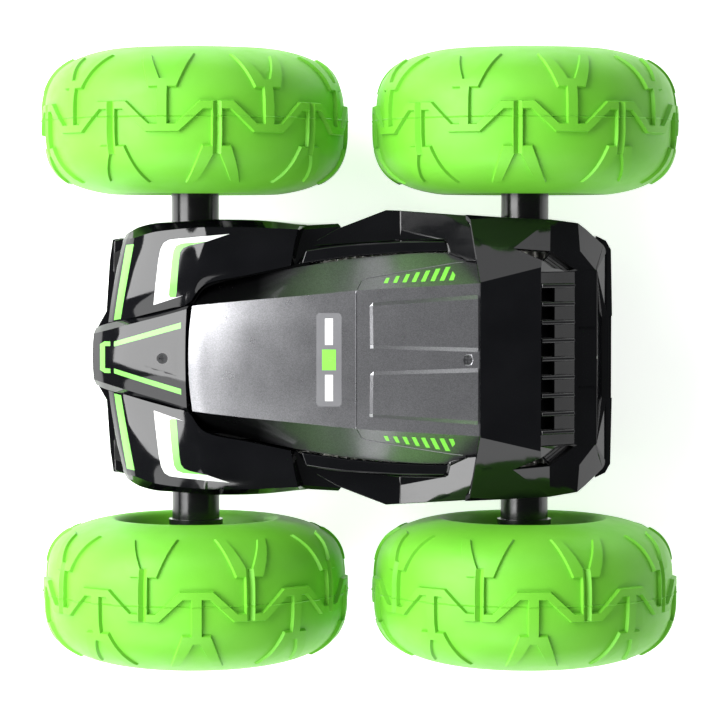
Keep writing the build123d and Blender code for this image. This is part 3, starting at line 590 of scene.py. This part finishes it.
# Left wing: rows from front to rear, each from the skirt's foot over the crease to the inner edge.
FENDER_ROWS = [
    [(83, 44.2, 53), (83.4, 43.9, 53), (84.5, 41.6, 53), (86.7, 32, 53),
     (88.7, 21, 53), (90, 12.2, 53), (90, 12, 53)],
    [(83, 44.2, 56), (83.4, 43.9, 57.6), (84.5, 41.6, 58.8), (86.7, 32, 59),
     (88.7, 21, 58.7), (90, 12.2, 57.8), (90, 12, 56.2)],
    [(81.7, 44.9, 57), (82.1, 44.5, 59.7), (83.1, 41.9, 61.5), (85.3, 32.3, 61.7),
     (87.2, 21.2, 61.3), (88.5, 12.5, 59.9), (88.5, 12.3, 57.3)],
    [(78.2, 46.7, 57), (78.4, 46.3, 61.8), (79.8, 42.5, 65.5), (81, 33, 66.2),
     (82.5, 22, 65.7), (83.5, 13.4, 63.9), (83.5, 13.2, 60.5)],
    [(72.5, 47.9, 57), (72.5, 47.6, 63.8), (73, 44.4, 69.9), (73.5, 35, 70.7),
     (74.3, 24, 70.2), (75, 15.6, 68.3), (75, 15.4, 64.9)],
    [(65, 48.5, 57), (65, 48, 65.3), (65, 45.4, 72.7), (65.5, 36.5, 73.8),
     (66, 26, 73.4), (66.5, 17.7, 71.5), (66.5, 17.5, 67.9)],
    [(57.5, 49, 57), (57.5, 48.6, 66.3), (57.5, 46, 74.2), (58, 38, 75.6),
     (59, 28, 75.4), (60.4, 19.4, 73.3), (60.4, 19.3, 69.5)],
    [(51, 49.2, 57), (51, 48.9, 66.8), (51, 46.2, 75.1), (52, 39.5, 76.6),
     (53, 32, 76.4), (54.2, 26.2, 74.7), (54.2, 26, 69.7)],
    [(36, 49, 57), (36, 48.6, 66.8), (37, 46.1, 75.1), (37.4, 40.6, 76.4),
     (38, 34.6, 76.3), (38.5, 29.6, 75), (38.5, 29.4, 70.3)],
    [(21, 47.8, 57), (21, 47.2, 66.8), (21.9, 45.4, 74.8), (22.9, 41.2, 75.7),
     (23.7, 36.6, 75.6), (24.4, 32.6, 74.6), (24.4, 32.4, 70.5)],
    [(18.5, 47.6, 57), (18.5, 46.9, 66.3), (20, 45.3, 68.5), (21.2, 41.4, 68.7),
     (22.4, 36.8, 69.3), (23.2, 33, 70.1), (23.4, 32.8, 68.6)],
    [(7.6, 47.6, 57), (7.7, 47.5, 66), (6.8, 46.4, 67.2), (9.4, 43.6, 67.6),
     (13, 40.4, 68.2), (18, 35.6, 68.6), (18.2, 35.4, 67)],
]
FENDER_SHARP_ROWS = (1, 2, 9, 10)        # front wall, front crease and the rear edge of the wing's top

# Corners of the rear cowl and of the side pod, on the left of the car.
COWL = {
    "a0": (-41.7, 0, 89.2), "a1": (-41.9, 27, 88.4), "a2": (-38.6, 48.9, 78.5), "a3": (-37.2, 50.6, 72.5),
    "a4": (-37.2, 50.6, 57), "b0": (-63.2, 0, 84.6), "b1": (-63.2, 32.2, 83.2), "c1": (-53.6, 38.8, 81.5),
    "c2": (-77.6, 37.8, 72), "c3": (-83.4, 31.2, 66.4), "d1": (-50.5, 49.6, 77), "d2": (-67, 48.9, 74.6),
    "d3": (-77, 47.6, 70), "d4": (-80, 45.4, 67.6), "d5": (-86.6, 39.8, 62), "e1": (-50.5, 50.2, 57),
    "e2": (-67, 49.4, 57), "e3": (-77, 48.2, 57), "e4": (-80.4, 46, 57), "e5": (-86.8, 39.8, 57),
    "h2": (-66.6, 37.8, 78.6), "h3": (-75.9, 31.4, 70), "h4": (-74, 30.9, 71.6), "h5": (-67.5, 31.8, 78),
    "h6": (-63.6, 34.6, 81.6), "s0": (-63.2, 30.6, 83.3), "s1": (-75.7, 30.6, 70.4), "k0": (-77, 0, 69.5),
    "k1": (-77, 31, 69.4), "r0": (-84, 0, 66.7), "r1": (-84, 31, 66.4), "t0": (-86.2, 0, 61.6),
    "t1": (-87.9, 37.6, 60.9), "t2": (-87.9, 15.6, 61), "t3": (-86.2, 14.2, 61.6), "v0": (-86.2, 0, 54),
    "v1": (-87.9, 37.6, 54), "v2": (-87.9, 15.6, 54), "v3": (-86.2, 14.2, 54), "u0": (-75.7, 0, 70.1),
}
COWL_FACES = [
    ("a0", "b0", "b1", "a1"), ("a1", "c1", "d1", "a2"), ("a2", "d1", "a3"), ("a1", "b1", "h6", "c1"),
    ("c1", "h2", "d2"), ("c1", "d2", "d1"), ("h2", "c2", "d3"), ("h2", "d3", "d2"), ("c2", "d4", "d3"),
    ("c2", "c3", "d5", "d4"),
    ("h3", "k1", "c3", "c2", "h2"), ("s0", "s1", "h4", "h5"), ("b1", "s0", "h5", "h6"),
    ("s1", "k1", "h3", "h4"), ("b0", "s0", "b1"), ("u0", "k0", "k1", "s1"), ("k0", "r0", "r1", "k1"),
    ("k1", "r1", "c3"),
    ("r0", "t0", "t3", "r1"), ("r1", "t3", "t2"), ("r1", "t2", "t1"), ("r1", "t1", "d5"), ("r1", "d5", "c3"),
    ("t0", "v0", "v3", "t3"), ("t3", "v3", "v2", "t2"), ("t2", "v2", "v1", "t1"), ("t1", "v1", "e5", "d5"),
    ("a3", "d1", "e1", "a4"), ("d1", "d2", "e2", "e1"), ("d2", "d3", "e3", "e2"), ("d3", "d4", "e4", "e3"),
    ("d4", "d5", "e5", "e4"),
]
POD = {
    "p0": (17.5, 40.4, 68.3), "p1": (8.2, 45.6, 68.2), "p2": (-9.2, 52.3, 68.4), "p3": (-14.2, 52.1, 67.3),
    "p4": (-38, 50.3, 72.5), "q0": (17, 39.6, 68.4), "q3": (-14.2, 42, 69.9), "q4": (-29.8, 41.9, 74),
    "q5": (-31, 41.2, 74.4), "q6": (-31.8, 37.6, 75.9), "q7": (-37.4, 34.8, 78), "r3": (-14.2, 45.2, 69.8),
    "w1": (-41.6, 34.4, 78.9), "f0": (17, 39.8, 58), "f1": (8.2, 45.2, 57), "f2": (-9.2, 51.4, 57),
    "f3": (-14.2, 51.4, 57), "f4": (-38, 50, 57), "g0": (17, 39.4, 62), "g3": (-14.2, 41.8, 66),
    "g4": (-29.8, 41.7, 68), "g5": (-31, 41, 69), "g6": (-31.8, 37.4, 72), "g7": (-37.4, 34.6, 75),
}
POD_FACES = [
    ("q0", "p0", "p1", "p2", "p3", "r3", "q3"), ("r3", "q4", "q3"), ("r3", "p3", "p4"), ("r3", "p4", "q4"),
    ("q4", "p4", "q5"), ("q5", "p4", "q6"), ("q6", "p4", "w1"), ("q6", "w1", "q7"),
    ("p1", "f1", "f2", "p2"), ("p2", "f2", "f3", "p3"), ("p3", "f3", "f4", "p4"), ("p0", "f0", "f1", "p1"),
    ("g0", "q0", "q3", "g3"), ("g3", "q3", "q4", "g4"), ("g4", "q4", "q5", "g5"), ("g5", "q5", "q6", "g6"),
    ("g6", "q6", "q7", "g7"),
]
RAIL_OUTLINE = [(20.8, 33.2), (19.2, 38.1), (12, 39.2), (5.6, 40), (-14, 41.2), (-30, 41.4), (-31.4, 37.6),
                (-14, 37), (3, 35.7), (12, 34.4)]
RAIL_Z = (70, 74.4)


def outward_faces(corners, names):
    """Corner and face lists whose faces turn away from a point inside the body."""
    keys = list(corners)
    points = [corners[key] for key in keys]
    faces = []
    for name in names:
        loop = [keys.index(key) for key in name]
        corners_of_face = [Vector(points[i]) for i in loop]
        middle = Vector(np.mean(corners_of_face, axis=0))
        turns = zip(corners_of_face, corners_of_face[1:] + corners_of_face[:1])
        normal = sum((a.cross(b) for a, b in turns), Vector())
        away = middle - Vector((middle.x * 0.6, 0, 58))
        faces.append(tuple(loop if normal.dot(away) > 0 else loop[::-1]))
    return points, faces


def with_mirror_image(points, faces):
    """A left half and its mirror image in one mesh, joined at the centre plane."""
    other, flipped = mirrored(points, faces)
    shift = len(points)
    return welded([*points, *other], [*faces, *[tuple(i + shift for i in face) for face in flipped]])


def prism_faces(count):
    """Faces of a body between a ring of points and the same number above it, counted counter-clockwise."""
    sides = [(i, (i + 1) % count, (i + 1) % count + count, i + count) for i in range(count)]
    return [tuple(reversed(range(count))), tuple(range(count, 2 * count)), *sides]


def extruded(outline, low, high):
    """A plan outline between two heights."""
    return [(x, y, z) for z in (low, high) for x, y in outline], prism_faces(len(outline))


def turned_outward(points, faces):
    """The same closed mesh with every face turned outward."""
    bm = bmesh.new()
    verts = [bm.verts.new(p) for p in points]
    for face in faces:
        bm.faces.new([verts[i] for i in face])
    bmesh.ops.recalc_face_normals(bm, faces=bm.faces)
    bm.verts.index_update()
    faces = [tuple(v.index for v in f.verts) for f in bm.faces]
    bm.free()
    return points, faces


def make_shells():
    """The upper body. Returns the pieces that decals lie on."""
    canopy = surface(whole_width(CANOPY_ROWS), 8, 6, sharp_columns=(1, 2, 6, 7), sharp_rows=(6,))
    canopy = shell_piece("canopy_shell", *canopy, "silver_paint", "canopy", wall=1.8, edge=0.7)
    hood = surface(whole_width(HOOD_ROWS), 8, 5, sharp_columns=(1, 2, 6, 7))
    hood = shell_piece("hood_shell", *hood, "black_gloss", "hood", wall=1.8, edge=0.6)
    wing = surface(FENDER_ROWS, 6, 6, sharp_columns=(1, 2, 5), sharp_rows=FENDER_SHARP_ROWS)
    wings = both_hands("wing_shell", *wing, "black_gloss", "front_fender", wall=1.6, edge=0.6)
    cowl = with_mirror_image(*outward_faces(COWL, COWL_FACES))
    cowl = shell_piece("cowl_shell", *cowl, "black_gloss", "rear_cowl", wall=1.6, edge=0.4, smooth=6.0)
    pod = outward_faces(POD, POD_FACES)
    both_hands("pod_shell", *pod, "black_gloss", "side_pod", wall=1.2, edge=0.4, smooth=6.0)
    both_hands("sill_rail", *turned_outward(*extruded(RAIL_OUTLINE, *RAIL_Z)), "black_gloss", edge=0.7)
    return {"canopy": canopy, "hood": hood, "wing_left": wings[0], "wing_right": wings[1], "cowl": cowl}


# ---------------------------------------------------------------- details on the shells
DRAPE_START = 0.2                        # metres above the ground


class Drape:
    """Places on a piece's outer face, looked at from above."""

    def __init__(self, obj):
        evaluated = obj.evaluated_get(bpy.context.evaluated_depsgraph_get())
        mesh = evaluated.to_mesh()
        self.tree = BVHTree.FromPolygons([v.co.copy() for v in mesh.vertices],
                                         [tuple(p.vertices) for p in mesh.polygons])
        evaluated.to_mesh_clear()

    def at(self, x, y, lift):
        """The place over (x, y) at a height above the face."""
        start = Vector((x * MM, y * MM, DRAPE_START))
        hit, normal, _, _ = self.tree.ray_cast(start, Vector((0, 0, -1)))
        if hit is None:
            raise ValueError(f"nothing under ({x:.1f}, {y:.1f})")
        return tuple(hit / MM + normal * lift)


def plan_mesh(outline, cell):
    """A filled plan outline with inner points, as (x, y) and upward triangles."""
    line = subdivided([*outline, outline[0]], cell, math.ceil)
    rim = line[:-1]
    xs, ys = zip(*rim)
    ys = np.arange(min(ys), max(ys), cell)
    grid = np.array([(x, y) for x in np.arange(min(xs), max(xs), cell) for y in ys])
    grid = grid[inside(rim, grid) & (distance_to(line, grid) > cell * 0.4)]
    edges = [(i, (i + 1) % len(rim)) for i in range(len(rim))]
    out = delaunay_2d_cdt([Vector(p) for p in [*rim, *grid]], edges, [tuple(range(len(rim)))], 1, 1e-5)
    flat = [tuple(p) for p in out[0]]
    faces = []
    for a, b, c in out[2]:
        (x0, y0), (x1, y1), (x2, y2) = flat[a], flat[b], flat[c]
        upward = (x1 - x0) * (y2 - y0) > (x2 - x0) * (y1 - y0)
        faces.append((a, b, c) if upward else (a, c, b))
    return flat, faces


def on_chassis(obj):
    """Fixes a piece to the chassis."""
    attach(obj, "chassis")
    return obj


def decal(name, outline, drape, material, lift=0.05, cell=1.5):
    """A thin printed film that follows the shell under it."""
    flat, faces = plan_mesh(outline, cell)
    points = [drape.at(x, y, lift) for x, y in flat]
    return on_chassis(new_object(name, points, faces, MATERIALS[material], 60.0))


def paired_decals(name, outline, drapes, material, **finish):
    """The same decal on the left and on the right. drapes is one drape for both or one for each hand."""
    for hand, side in SIDES:
        drape = drapes[hand] if isinstance(drapes, dict) else drapes
        decal(f"{name}_{hand}", [(x, side * y) for x, y in outline], drape, material, **finish)


SUNK = 0.1               # how far the rim of a pad lies under the shell's face


def raised_pad(name, outline, drape, slot_name, height, border, cell=1.2):
    """A pad moulded proud of the shell, with sloping borders."""
    flat, faces = plan_mesh(outline, cell)
    rises = np.minimum(1, distance_to([*outline, outline[0]], np.array(flat)) / border)
    points = [drape.at(x, y, height * rise - SUNK) for (x, y), rise in zip(flat, rises)]
    return on_chassis(new_object(name, points, faces, MATERIALS[slot_name], 20.0))


def sloped_pad(name, corners, drape, slot_name, height, border):
    """A four-cornered pad with sloping borders in front and at its sides, front edge first."""
    (x0, y0), (x1, y1), (x2, y2), (x3, y3) = corners
    long = border / abs(x2 - x1)
    wide = border / abs(y1 - y0)
    us = [0.0, long, *[long + (1 - long) * k / 16 for k in range(1, 17)]]
    vs = [0.0, wide, *[wide + (1 - 2 * wide) * k / 6 for k in range(1, 6)], 1 - wide, 1.0]
    points = []
    for u in us:
        for v in vs:
            front = (x0 + (x1 - x0) * v, y0 + (y1 - y0) * v)
            rear = (x3 + (x2 - x3) * v, y3 + (y2 - y3) * v)
            place = [a + (b - a) * u for a, b in zip(front, rear)]
            points.append(drape.at(*place, -SUNK if u == 0.0 or v in (0.0, 1.0) else height))
    faces = grid_faces(len(us), len(vs))
    if y1 > y0:
        faces = [tuple(reversed(face)) for face in faces]
    return on_chassis(new_object(name, points, faces, MATERIALS[slot_name], 8.0))


def moulded_line(name, path, drape, slot_name, width=0.5, height=0.22, step=0.8):
    """A fine step line that follows the shell."""
    places = subdivided(path, step)
    points = []
    for i, (x, y) in enumerate(places):
        (ax, ay), (bx, by) = places[max(0, i - 1)], places[min(len(places) - 1, i + 1)]
        length = math.hypot(bx - ax, by - ay)
        nx, ny = (ay - by) / length, (bx - ax) / length
        for across, lift in ((-0.5, -0.08), (-0.2, height), (0.2, height), (0.5, -0.08)):
            points.append(drape.at(x + nx * across * width, y + ny * across * width, lift))
    obj = new_object(name, points, grid_faces(len(places), 4), MATERIALS[slot_name], 60.0)
    if obj.data.polygons[1].normal.z < 0:
        obj.data.flip_normals()
    return on_chassis(obj)


CUTTER_TOP = 140.0


def cut_round(obj, x, y, radius):
    """Cuts an upright round hole through a piece, and makes its modifiers part of the mesh."""
    count = 40
    turns = [2 * math.pi * k / count for k in range(count)]
    ring = [(x + radius * math.cos(turn), y + radius * math.sin(turn)) for turn in turns]
    cutter = new_object("cutter", *extruded(ring, 0.0, CUTTER_TOP), obj.data.materials[0])
    cut = obj.modifiers.new("hole", "BOOLEAN")
    cut.object = cutter
    cut.solver = "EXACT"
    depsgraph = bpy.context.evaluated_depsgraph_get()
    mesh = bpy.data.meshes.new_from_object(obj.evaluated_get(depsgraph), depsgraph=depsgraph)
    obj.modifiers.clear()
    obj.data = mesh
    bpy.data.objects.remove(cutter)


FRONT_STRIPE = [(83.1, 39.8), (80.1, 40.2), (85.1, 13.6), (87.7, 13.1)]
CHEVRON = [(53.8, 41.1), (62.4, 40.5), (64.6, 39.7), (65.7, 37.8), (66.2, 34.4), (66.9, 27.8), (67.4, 22.3),
           (66.9, 21.5), (64.9, 21.5)]
WHITE_CHEVRON = [(73, 18.7), (71.1, 34.5), (70.3, 38.4), (69.2, 40.6), (67.3, 41.7), (64.2, 42.1),
                 (45.8, 43.8), *CHEVRON, (62.1, 22.2)]
GREEN_CHEVRON = [*CHEVRON, (64.6, 23.4), (63.7, 34.4), (63.2, 37.4), (62.1, 38.9), (60.1, 39.7)]
HOOD_STRIPE = [(87.3, 5.6), (62.9, 12.7), (62.9, 10.7), (87.3, 3.9)]
HOOD_BRACKET = [(92.6, -4.6), (92.6, 4.6), (90.9, 5.6), (88.7, 5.6), (88.7, 4), (90.7, 4), (90.7, -4),
                (88.7, -4), (88.7, -5.6), (90.9, -5.6)]
HOOD_BOSS = [(79.2, -1.4), (79.2, 1.4), (78.2, 3.2), (75.6, 4.5), (63.4, 8), (63.4, -8), (75.6, -4.5),
             (78.2, -3.2)]
ROOF_SEAM = [(1.4, 0), (1.4, 23.8), (-0.4, 27.4), (-2.2, 28.4), (-16.3, 30.8), (-33.4, 33.7), (-36.2, 34)]
ROOF_PAD = [(-3.4, 3.9), (-3.2, 20), (-41, 22.8), (-41, 2.6)]
BADGE = [(6.4, 15.4), (7.2, 16.3), (14.4, 16.3), (15.2, 15.4), (15.2, -15.4), (14.4, -16.3), (7.2, -16.3),
         (6.4, -15.4)]
BADGE_BAR = [(9.4, 5.2), (12.2, 5.2), (12.2, 14.4), (9.4, 14.4)]
BADGE_BLOCK = [(8.4, -3.6), (13.2, -3.6), (13.2, 3.6), (8.4, 3.6)]
SCREW_HOLES = {"hood": (69.6, 0.0, 1.9), "canopy": (-37.6, 0.0, 1.6)}        # x, y and radius
ROOF_STRIPES = 8


def decorate_wings(shells):
    """The printed marks on the wings."""
    wings = {hand: Drape(shells[f"wing_{hand}"]) for hand, _ in SIDES}
    paired_decals("wing_stripe", FRONT_STRIPE, wings, "film_green", lift=0.12, cell=1.0)
    paired_decals("wing_mark_white", WHITE_CHEVRON, wings, "film_white")
    paired_decals("wing_mark_green", GREEN_CHEVRON, wings, "film_green", lift=0.06)


def decorate_hood(shells):
    """The hood's screw boss and its printed marks."""
    hood = Drape(shells["hood"])
    boss = raised_pad("hood_boss", HOOD_BOSS, hood, "black_gloss", 0.12, 1.5)
    cut_round(boss, *SCREW_HOLES["hood"])
    cut_round(shells["hood"], *SCREW_HOLES["hood"])
    paired_decals("hood_stripe", HOOD_STRIPE, hood, "film_green")
    decal("hood_bracket", HOOD_BRACKET, hood, "film_green", cell=1.0)


def roof_stripe(k):
    """Outline of a slanting stripe on the left of the roof. The stripes grow towards the rear."""
    low, high = 26.6 + 0.14 * k, 28.4 + 0.63 * k
    stripe = [(-8.2 - 3.25 * k, low), (-9.2 - 3.47 * k, high), (-10.4 - 3.55 * k, high + 0.1),
              (-9.6 - 3.28 * k, low)]
    if k == ROOF_STRIPES - 1:                # cut short by the canopy's corner
        stripe[1:3] = [(-32.4, 30.8), (-33.3, 29.4)]
    return stripe


def decorate_canopy(shells):
    """The canopy's screw hole, seam and pads, its stripes and its badge."""
    canopy = Drape(shells["canopy"])
    cut_round(shells["canopy"], *SCREW_HOLES["canopy"])
    seam = [*[(x, -y) for x, y in reversed(ROOF_SEAM[1:])], *ROOF_SEAM]
    moulded_line("roof_seam", seam, canopy, "silver_paint")
    for hand, side in SIDES:
        sloped_pad(f"roof_pad_{hand}", [(x, side * y) for x, y in ROOF_PAD], canopy, "silver_paint", 0.9, 1.3)
    for k in range(ROOF_STRIPES):
        paired_decals(f"roof_stripe_{k + 1}", roof_stripe(k), canopy, "film_lime", lift=0.08)
    decal("badge_film", BADGE, canopy, "film_clear", lift=0.04)
    decal("badge_bar_front", BADGE_BAR, canopy, "film_white", lift=0.08)
    decal("badge_bar_rear", [(x, -y) for x, y in BADGE_BAR], canopy, "film_white", lift=0.08)
    decal("badge_block", BADGE_BLOCK, canopy, "film_lime", lift=0.08)


GRILLE_TOP = (-63.2, 82.6)      # x and z of the sloping grille's upper and lower edges
GRILLE_FOOT = (-75.9, 70.3)
GRILLE_HALF_WIDTH = 30.4
SLOTS_HALF_WIDTH = 25.6
SLOTS_END = 0.42                # down the slope, from 0 at its top to 1 at its foot
PLATE_BACK = -1.4               # heights above the slope
WEB_FACE = -0.5                 # the webs between the slots lie under the fins
WEB_HALF_WIDTH = 1.0
BACK_WALL = (-4.6, -4.0)
FIN_PITCH = 6.42
FIN_NUMBERS = range(-4, 5)      # counted from the middle fin
FIN_RADIUS = 0.9
FIN_AXIS = 0.4                  # of its half-round, above the slope
FIN_BOTTOM = -0.6
FIN_TOP = (-0.02, 0.0)          # place down the slope, and how much prouder the fin is there
FIN_FOOT = (0.80, 2.2)


def on_slope(along, proud):
    """x and z of a place on the grille's slope, from its top (0) to its foot (1)."""
    (x0, z0), (x1, z1) = GRILLE_TOP, GRILLE_FOOT
    dx, dz = x1 - x0, z1 - z0
    length = math.hypot(dx, dz)
    return x0 + dx * along + dz / length * proud, z0 + dz * along - dx / length * proud


def slope_block(start, end, y_low, y_high, deep, proud):
    """A block lying on the slope, as points and faces."""
    profile = [on_slope(start, deep), on_slope(end, deep), on_slope(end, proud), on_slope(start, proud)]
    return [(x, y, z) for y in (y_low, y_high) for x, z in profile], prism_faces(4)


def grille_fin(y):
    """A half-round rib on the grille's slope that stands prouder towards the foot."""
    turns = np.linspace(0.0, math.pi, 11)
    arc = [(FIN_RADIUS * math.cos(turn), FIN_AXIS + FIN_RADIUS * math.sin(turn)) for turn in turns]
    ring = [(FIN_RADIUS, FIN_BOTTOM), *arc, (-FIN_RADIUS, FIN_BOTTOM)]
    points = []
    for along, lift in (FIN_TOP, FIN_FOOT):
        for aside, up in ring:
            x, z = on_slope(along, up + lift * (up > 0))
            points.append((x, y + aside, z))
    return turned_outward(points, prism_faces(len(ring)))


def make_grille():
    """Nine fins over a row of slots, with a dark wall behind them."""
    blocks = [slope_block(0.40, 1.0, -GRILLE_HALF_WIDTH, GRILLE_HALF_WIDTH, PLATE_BACK, 0.0)]
    for k in FIN_NUMBERS:
        low, high = k * FIN_PITCH - WEB_HALF_WIDTH, k * FIN_PITCH + WEB_HALF_WIDTH
        blocks.append(slope_block(0.0, SLOTS_END, low, high, PLATE_BACK, WEB_FACE))
    for low, high in ((-GRILLE_HALF_WIDTH, -SLOTS_HALF_WIDTH), (SLOTS_HALF_WIDTH, GRILLE_HALF_WIDTH)):
        blocks.append(slope_block(0.0, SLOTS_END, low, high, PLATE_BACK, 0.0))
    points, faces = [], []
    for block_points, block_faces in blocks:
        start = len(points)
        points += block_points
        faces += [tuple(start + i for i in face) for face in block_faces]
    grille = new_object("grille_plate", *turned_outward(points, faces), MATERIALS["black_gloss"])
    bevel(grille, 0.15)
    on_chassis(grille)
    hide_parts("rear_grille")
    for k in FIN_NUMBERS:
        fin = new_object(f"grille_fin_{k + 5}", *grille_fin(k * FIN_PITCH), MATERIALS["black_gloss"], 35.0)
        bevel(fin, 0.3, angle=60.0)
        on_chassis(fin)
    wall = turned_outward(*slope_block(0.0, 0.6, -30.0, 30.0, *BACK_WALL))
    on_chassis(new_object("grille_back", *wall, MATERIALS["black_satin"]))


def make_deck_lines(shells):
    """Fine steps across the deck behind the grille."""
    cowl = Drape(shells["cowl"])
    for hand, side in SIDES:
        step = [(-77.6, side * 10.5), (-83.8, side * 10.5)]
        moulded_line(f"deck_step_{hand}", step, cowl, "black_gloss", 0.7, 0.4)
        rim = [(-83.9, side * 30.4), (-83.9, side * 0.5)]
        moulded_line(f"deck_rim_{hand}", rim, cowl, "black_gloss", 0.6, 0.3)


VENT_DEPTH = Vector((0.5, -1.2, -3.2))   # from the left vent's mouth to its floor
VENT_RIBS = 4
FIRST_RIB = 0.15                         # along the vent, from 0 at its front to 1 at its rear
RIB_PITCH = 0.24
RIB_HALF_WIDTH = 0.5
RIB_END_GAP = 0.2
RIB_LIFT = Vector((-0.55, 0.4, 0.7)) * 1.2


def make_vents():
    """The recessed vents in the cowl's flanks, with ribs across their floors."""
    loop = [Vector(COWL[key]) for key in ("h2", "h3", "h4", "h5", "h6")]
    floor = [corner + VENT_DEPTH for corner in loop]
    open_mouth = prism_faces(len(loop))[1:]
    both_hands("vent_recess", [tuple(p) for p in loop + floor], open_mouth, "black_satin")
    for hand, side in SIDES:
        for k in range(VENT_RIBS):
            place = FIRST_RIB + k * RIB_PITCH
            a, b = floor[4].lerp(floor[0], place), floor[3].lerp(floor[1], place)
            gap = (b - a).normalized() * RIB_END_GAP
            along = (floor[0] - floor[4]).normalized() * RIB_HALF_WIDTH
            lower = [a + gap - along, b - gap - along, b - gap + along, a + gap + along]
            corners = lower + [corner + RIB_LIFT for corner in lower]
            rib = turned_outward([(x, side * y, z) for x, y, z in corners], prism_faces(4))
            rib = new_object(f"vent_rib_{hand}_{k + 1}", *rib, MATERIALS["black_satin"])
            on_chassis(rib)


# Plan outlines on the left of the car.
BUMPER_WEB = [(88.6, 30), (88.2, 41.4), (85.2, 42.2), (83.4, 42.6), (83.4, 30)]
BUMPER_WEB_Z = (46, 53.5)
LINER = [(60.6, 15), (54.5, 23), (38.5, 26.5), (18, 30), (18, 36), (38.5, 33), (54.5, 30), (60.6, 23)]
LINER_Z = (55, 60)


def make_bumper_webs():
    """The bumper's return walls under the noses of the wings."""
    web = turned_outward(*extruded(BUMPER_WEB, *BUMPER_WEB_Z))
    both_hands("bumper_web", *web, "black_gloss", edge=0.5)


def make_liners():
    """The body's inner wall under the seams between canopy and wings."""
    both_hands("liner", *turned_outward(*extruded(LINER, *LINER_Z)), "black_gloss")


# ---------------------------------------------------------------- studio
SUBJECT = Vector((0, 0, 0.06))   # what the lights face
CAMERA_PLACE = Vector((0, -0.0440, 1.1303))
CAMERA_TARGET = Vector((0, 0.0014, 0.0547))
FLOOR_REACH = 4.0
FLOOR_LEVEL = -0.0004            # just under the tyres, so that they don't share a face with it
FLOOR_GLOW = 0.68
SKY_COLOUR = (0.94, 0.97, 1, 1)
SKY_STRENGTH = 0.10
# Name, place and size in metres, and power in watts.
LIGHTS = [
    ("softbox_front_right", (0.90, -0.38, 0.76), (1.3, 0.85), 31),
    ("softbox_front_left", (0.76, 0.66, 0.68), (0.8, 0.7), 6),
    ("softbox_left", (-0.25, 1.05, 0.95), (1.5, 0.6), 6),
    ("softbox_left_high", (0.36, 0.82, 1.02), (0.5, 0.35), 4),
    ("softbox_right", (-0.25, -1.05, 0.95), (1.5, 0.6), 4),
    ("softbox_rear", (-1.25, 0.0, 0.20), (1.6, 0.3), 1.3),
]


def area_light(name, place, size, power):
    """A rectangular light that faces the car."""
    data = bpy.data.lights.new(name, "AREA")
    data.shape = "RECTANGLE"
    data.size, data.size_y = size
    data.energy = power
    obj = bpy.data.objects.new(name, data)
    obj.location = place
    obj.rotation_euler = (SUBJECT - Vector(place)).to_track_quat("-Z", "Y").to_euler()
    bpy.context.scene.collection.objects.link(obj)


def make_camera():
    """Looks almost straight down, nose to the left."""
    data = bpy.data.cameras.new("camera")
    data.lens = 150
    data.sensor_width = 36
    data.clip_end = 20
    obj = bpy.data.objects.new("camera", data)
    forward = (CAMERA_TARGET - CAMERA_PLACE).normalized()
    right = Vector((-1, 0, 0))
    up = (-forward).cross(right)
    turn = Matrix((right, up, -forward)).transposed()
    obj.matrix_world = Matrix.Translation(CAMERA_PLACE) @ turn.to_4x4()
    bpy.context.scene.collection.objects.link(obj)
    bpy.context.scene.camera = obj


def make_floor():
    """A white floor that glows a little, so that it stays white out to its edge."""
    mesh = bpy.data.meshes.new("floor")
    low, high = -FLOOR_REACH, FLOOR_REACH
    corners = [(x, y, FLOOR_LEVEL) for x, y in ((low, low), (high, low), (high, high), (low, high))]
    mesh.from_pydata(corners, [], [(0, 1, 2, 3)])
    mat, _, shader, _ = node_material("floor_white")
    shader.inputs["Base Color"].default_value = (0.92, 0.92, 0.92, 1)
    shader.inputs["Roughness"].default_value = 0.6
    shader.inputs["Emission Color"].default_value = (1, 1, 1, 1)
    shader.inputs["Emission Strength"].default_value = FLOOR_GLOW
    mesh.materials.append(mat)
    obj = bpy.data.objects.new("floor", mesh)
    bpy.context.scene.collection.objects.link(obj)


def make_world():
    """A faint, slightly cool sky."""
    world = bpy.data.worlds.new("studio")
    world.use_nodes = True
    background = world.node_tree.nodes["Background"]
    background.inputs["Color"].default_value = SKY_COLOUR
    background.inputs["Strength"].default_value = SKY_STRENGTH
    bpy.context.scene.world = world
    bpy.context.scene.view_settings.view_transform = "Standard"


paint_frame()
make_tyres()
SHELLS = make_shells()
decorate_wings(SHELLS)
decorate_hood(SHELLS)
decorate_canopy(SHELLS)
make_grille()
make_deck_lines(SHELLS)
make_vents()
make_bumper_webs()
make_liners()
make_camera()
make_floor()
make_world()
for light in LIGHTS:
    area_light(*light)
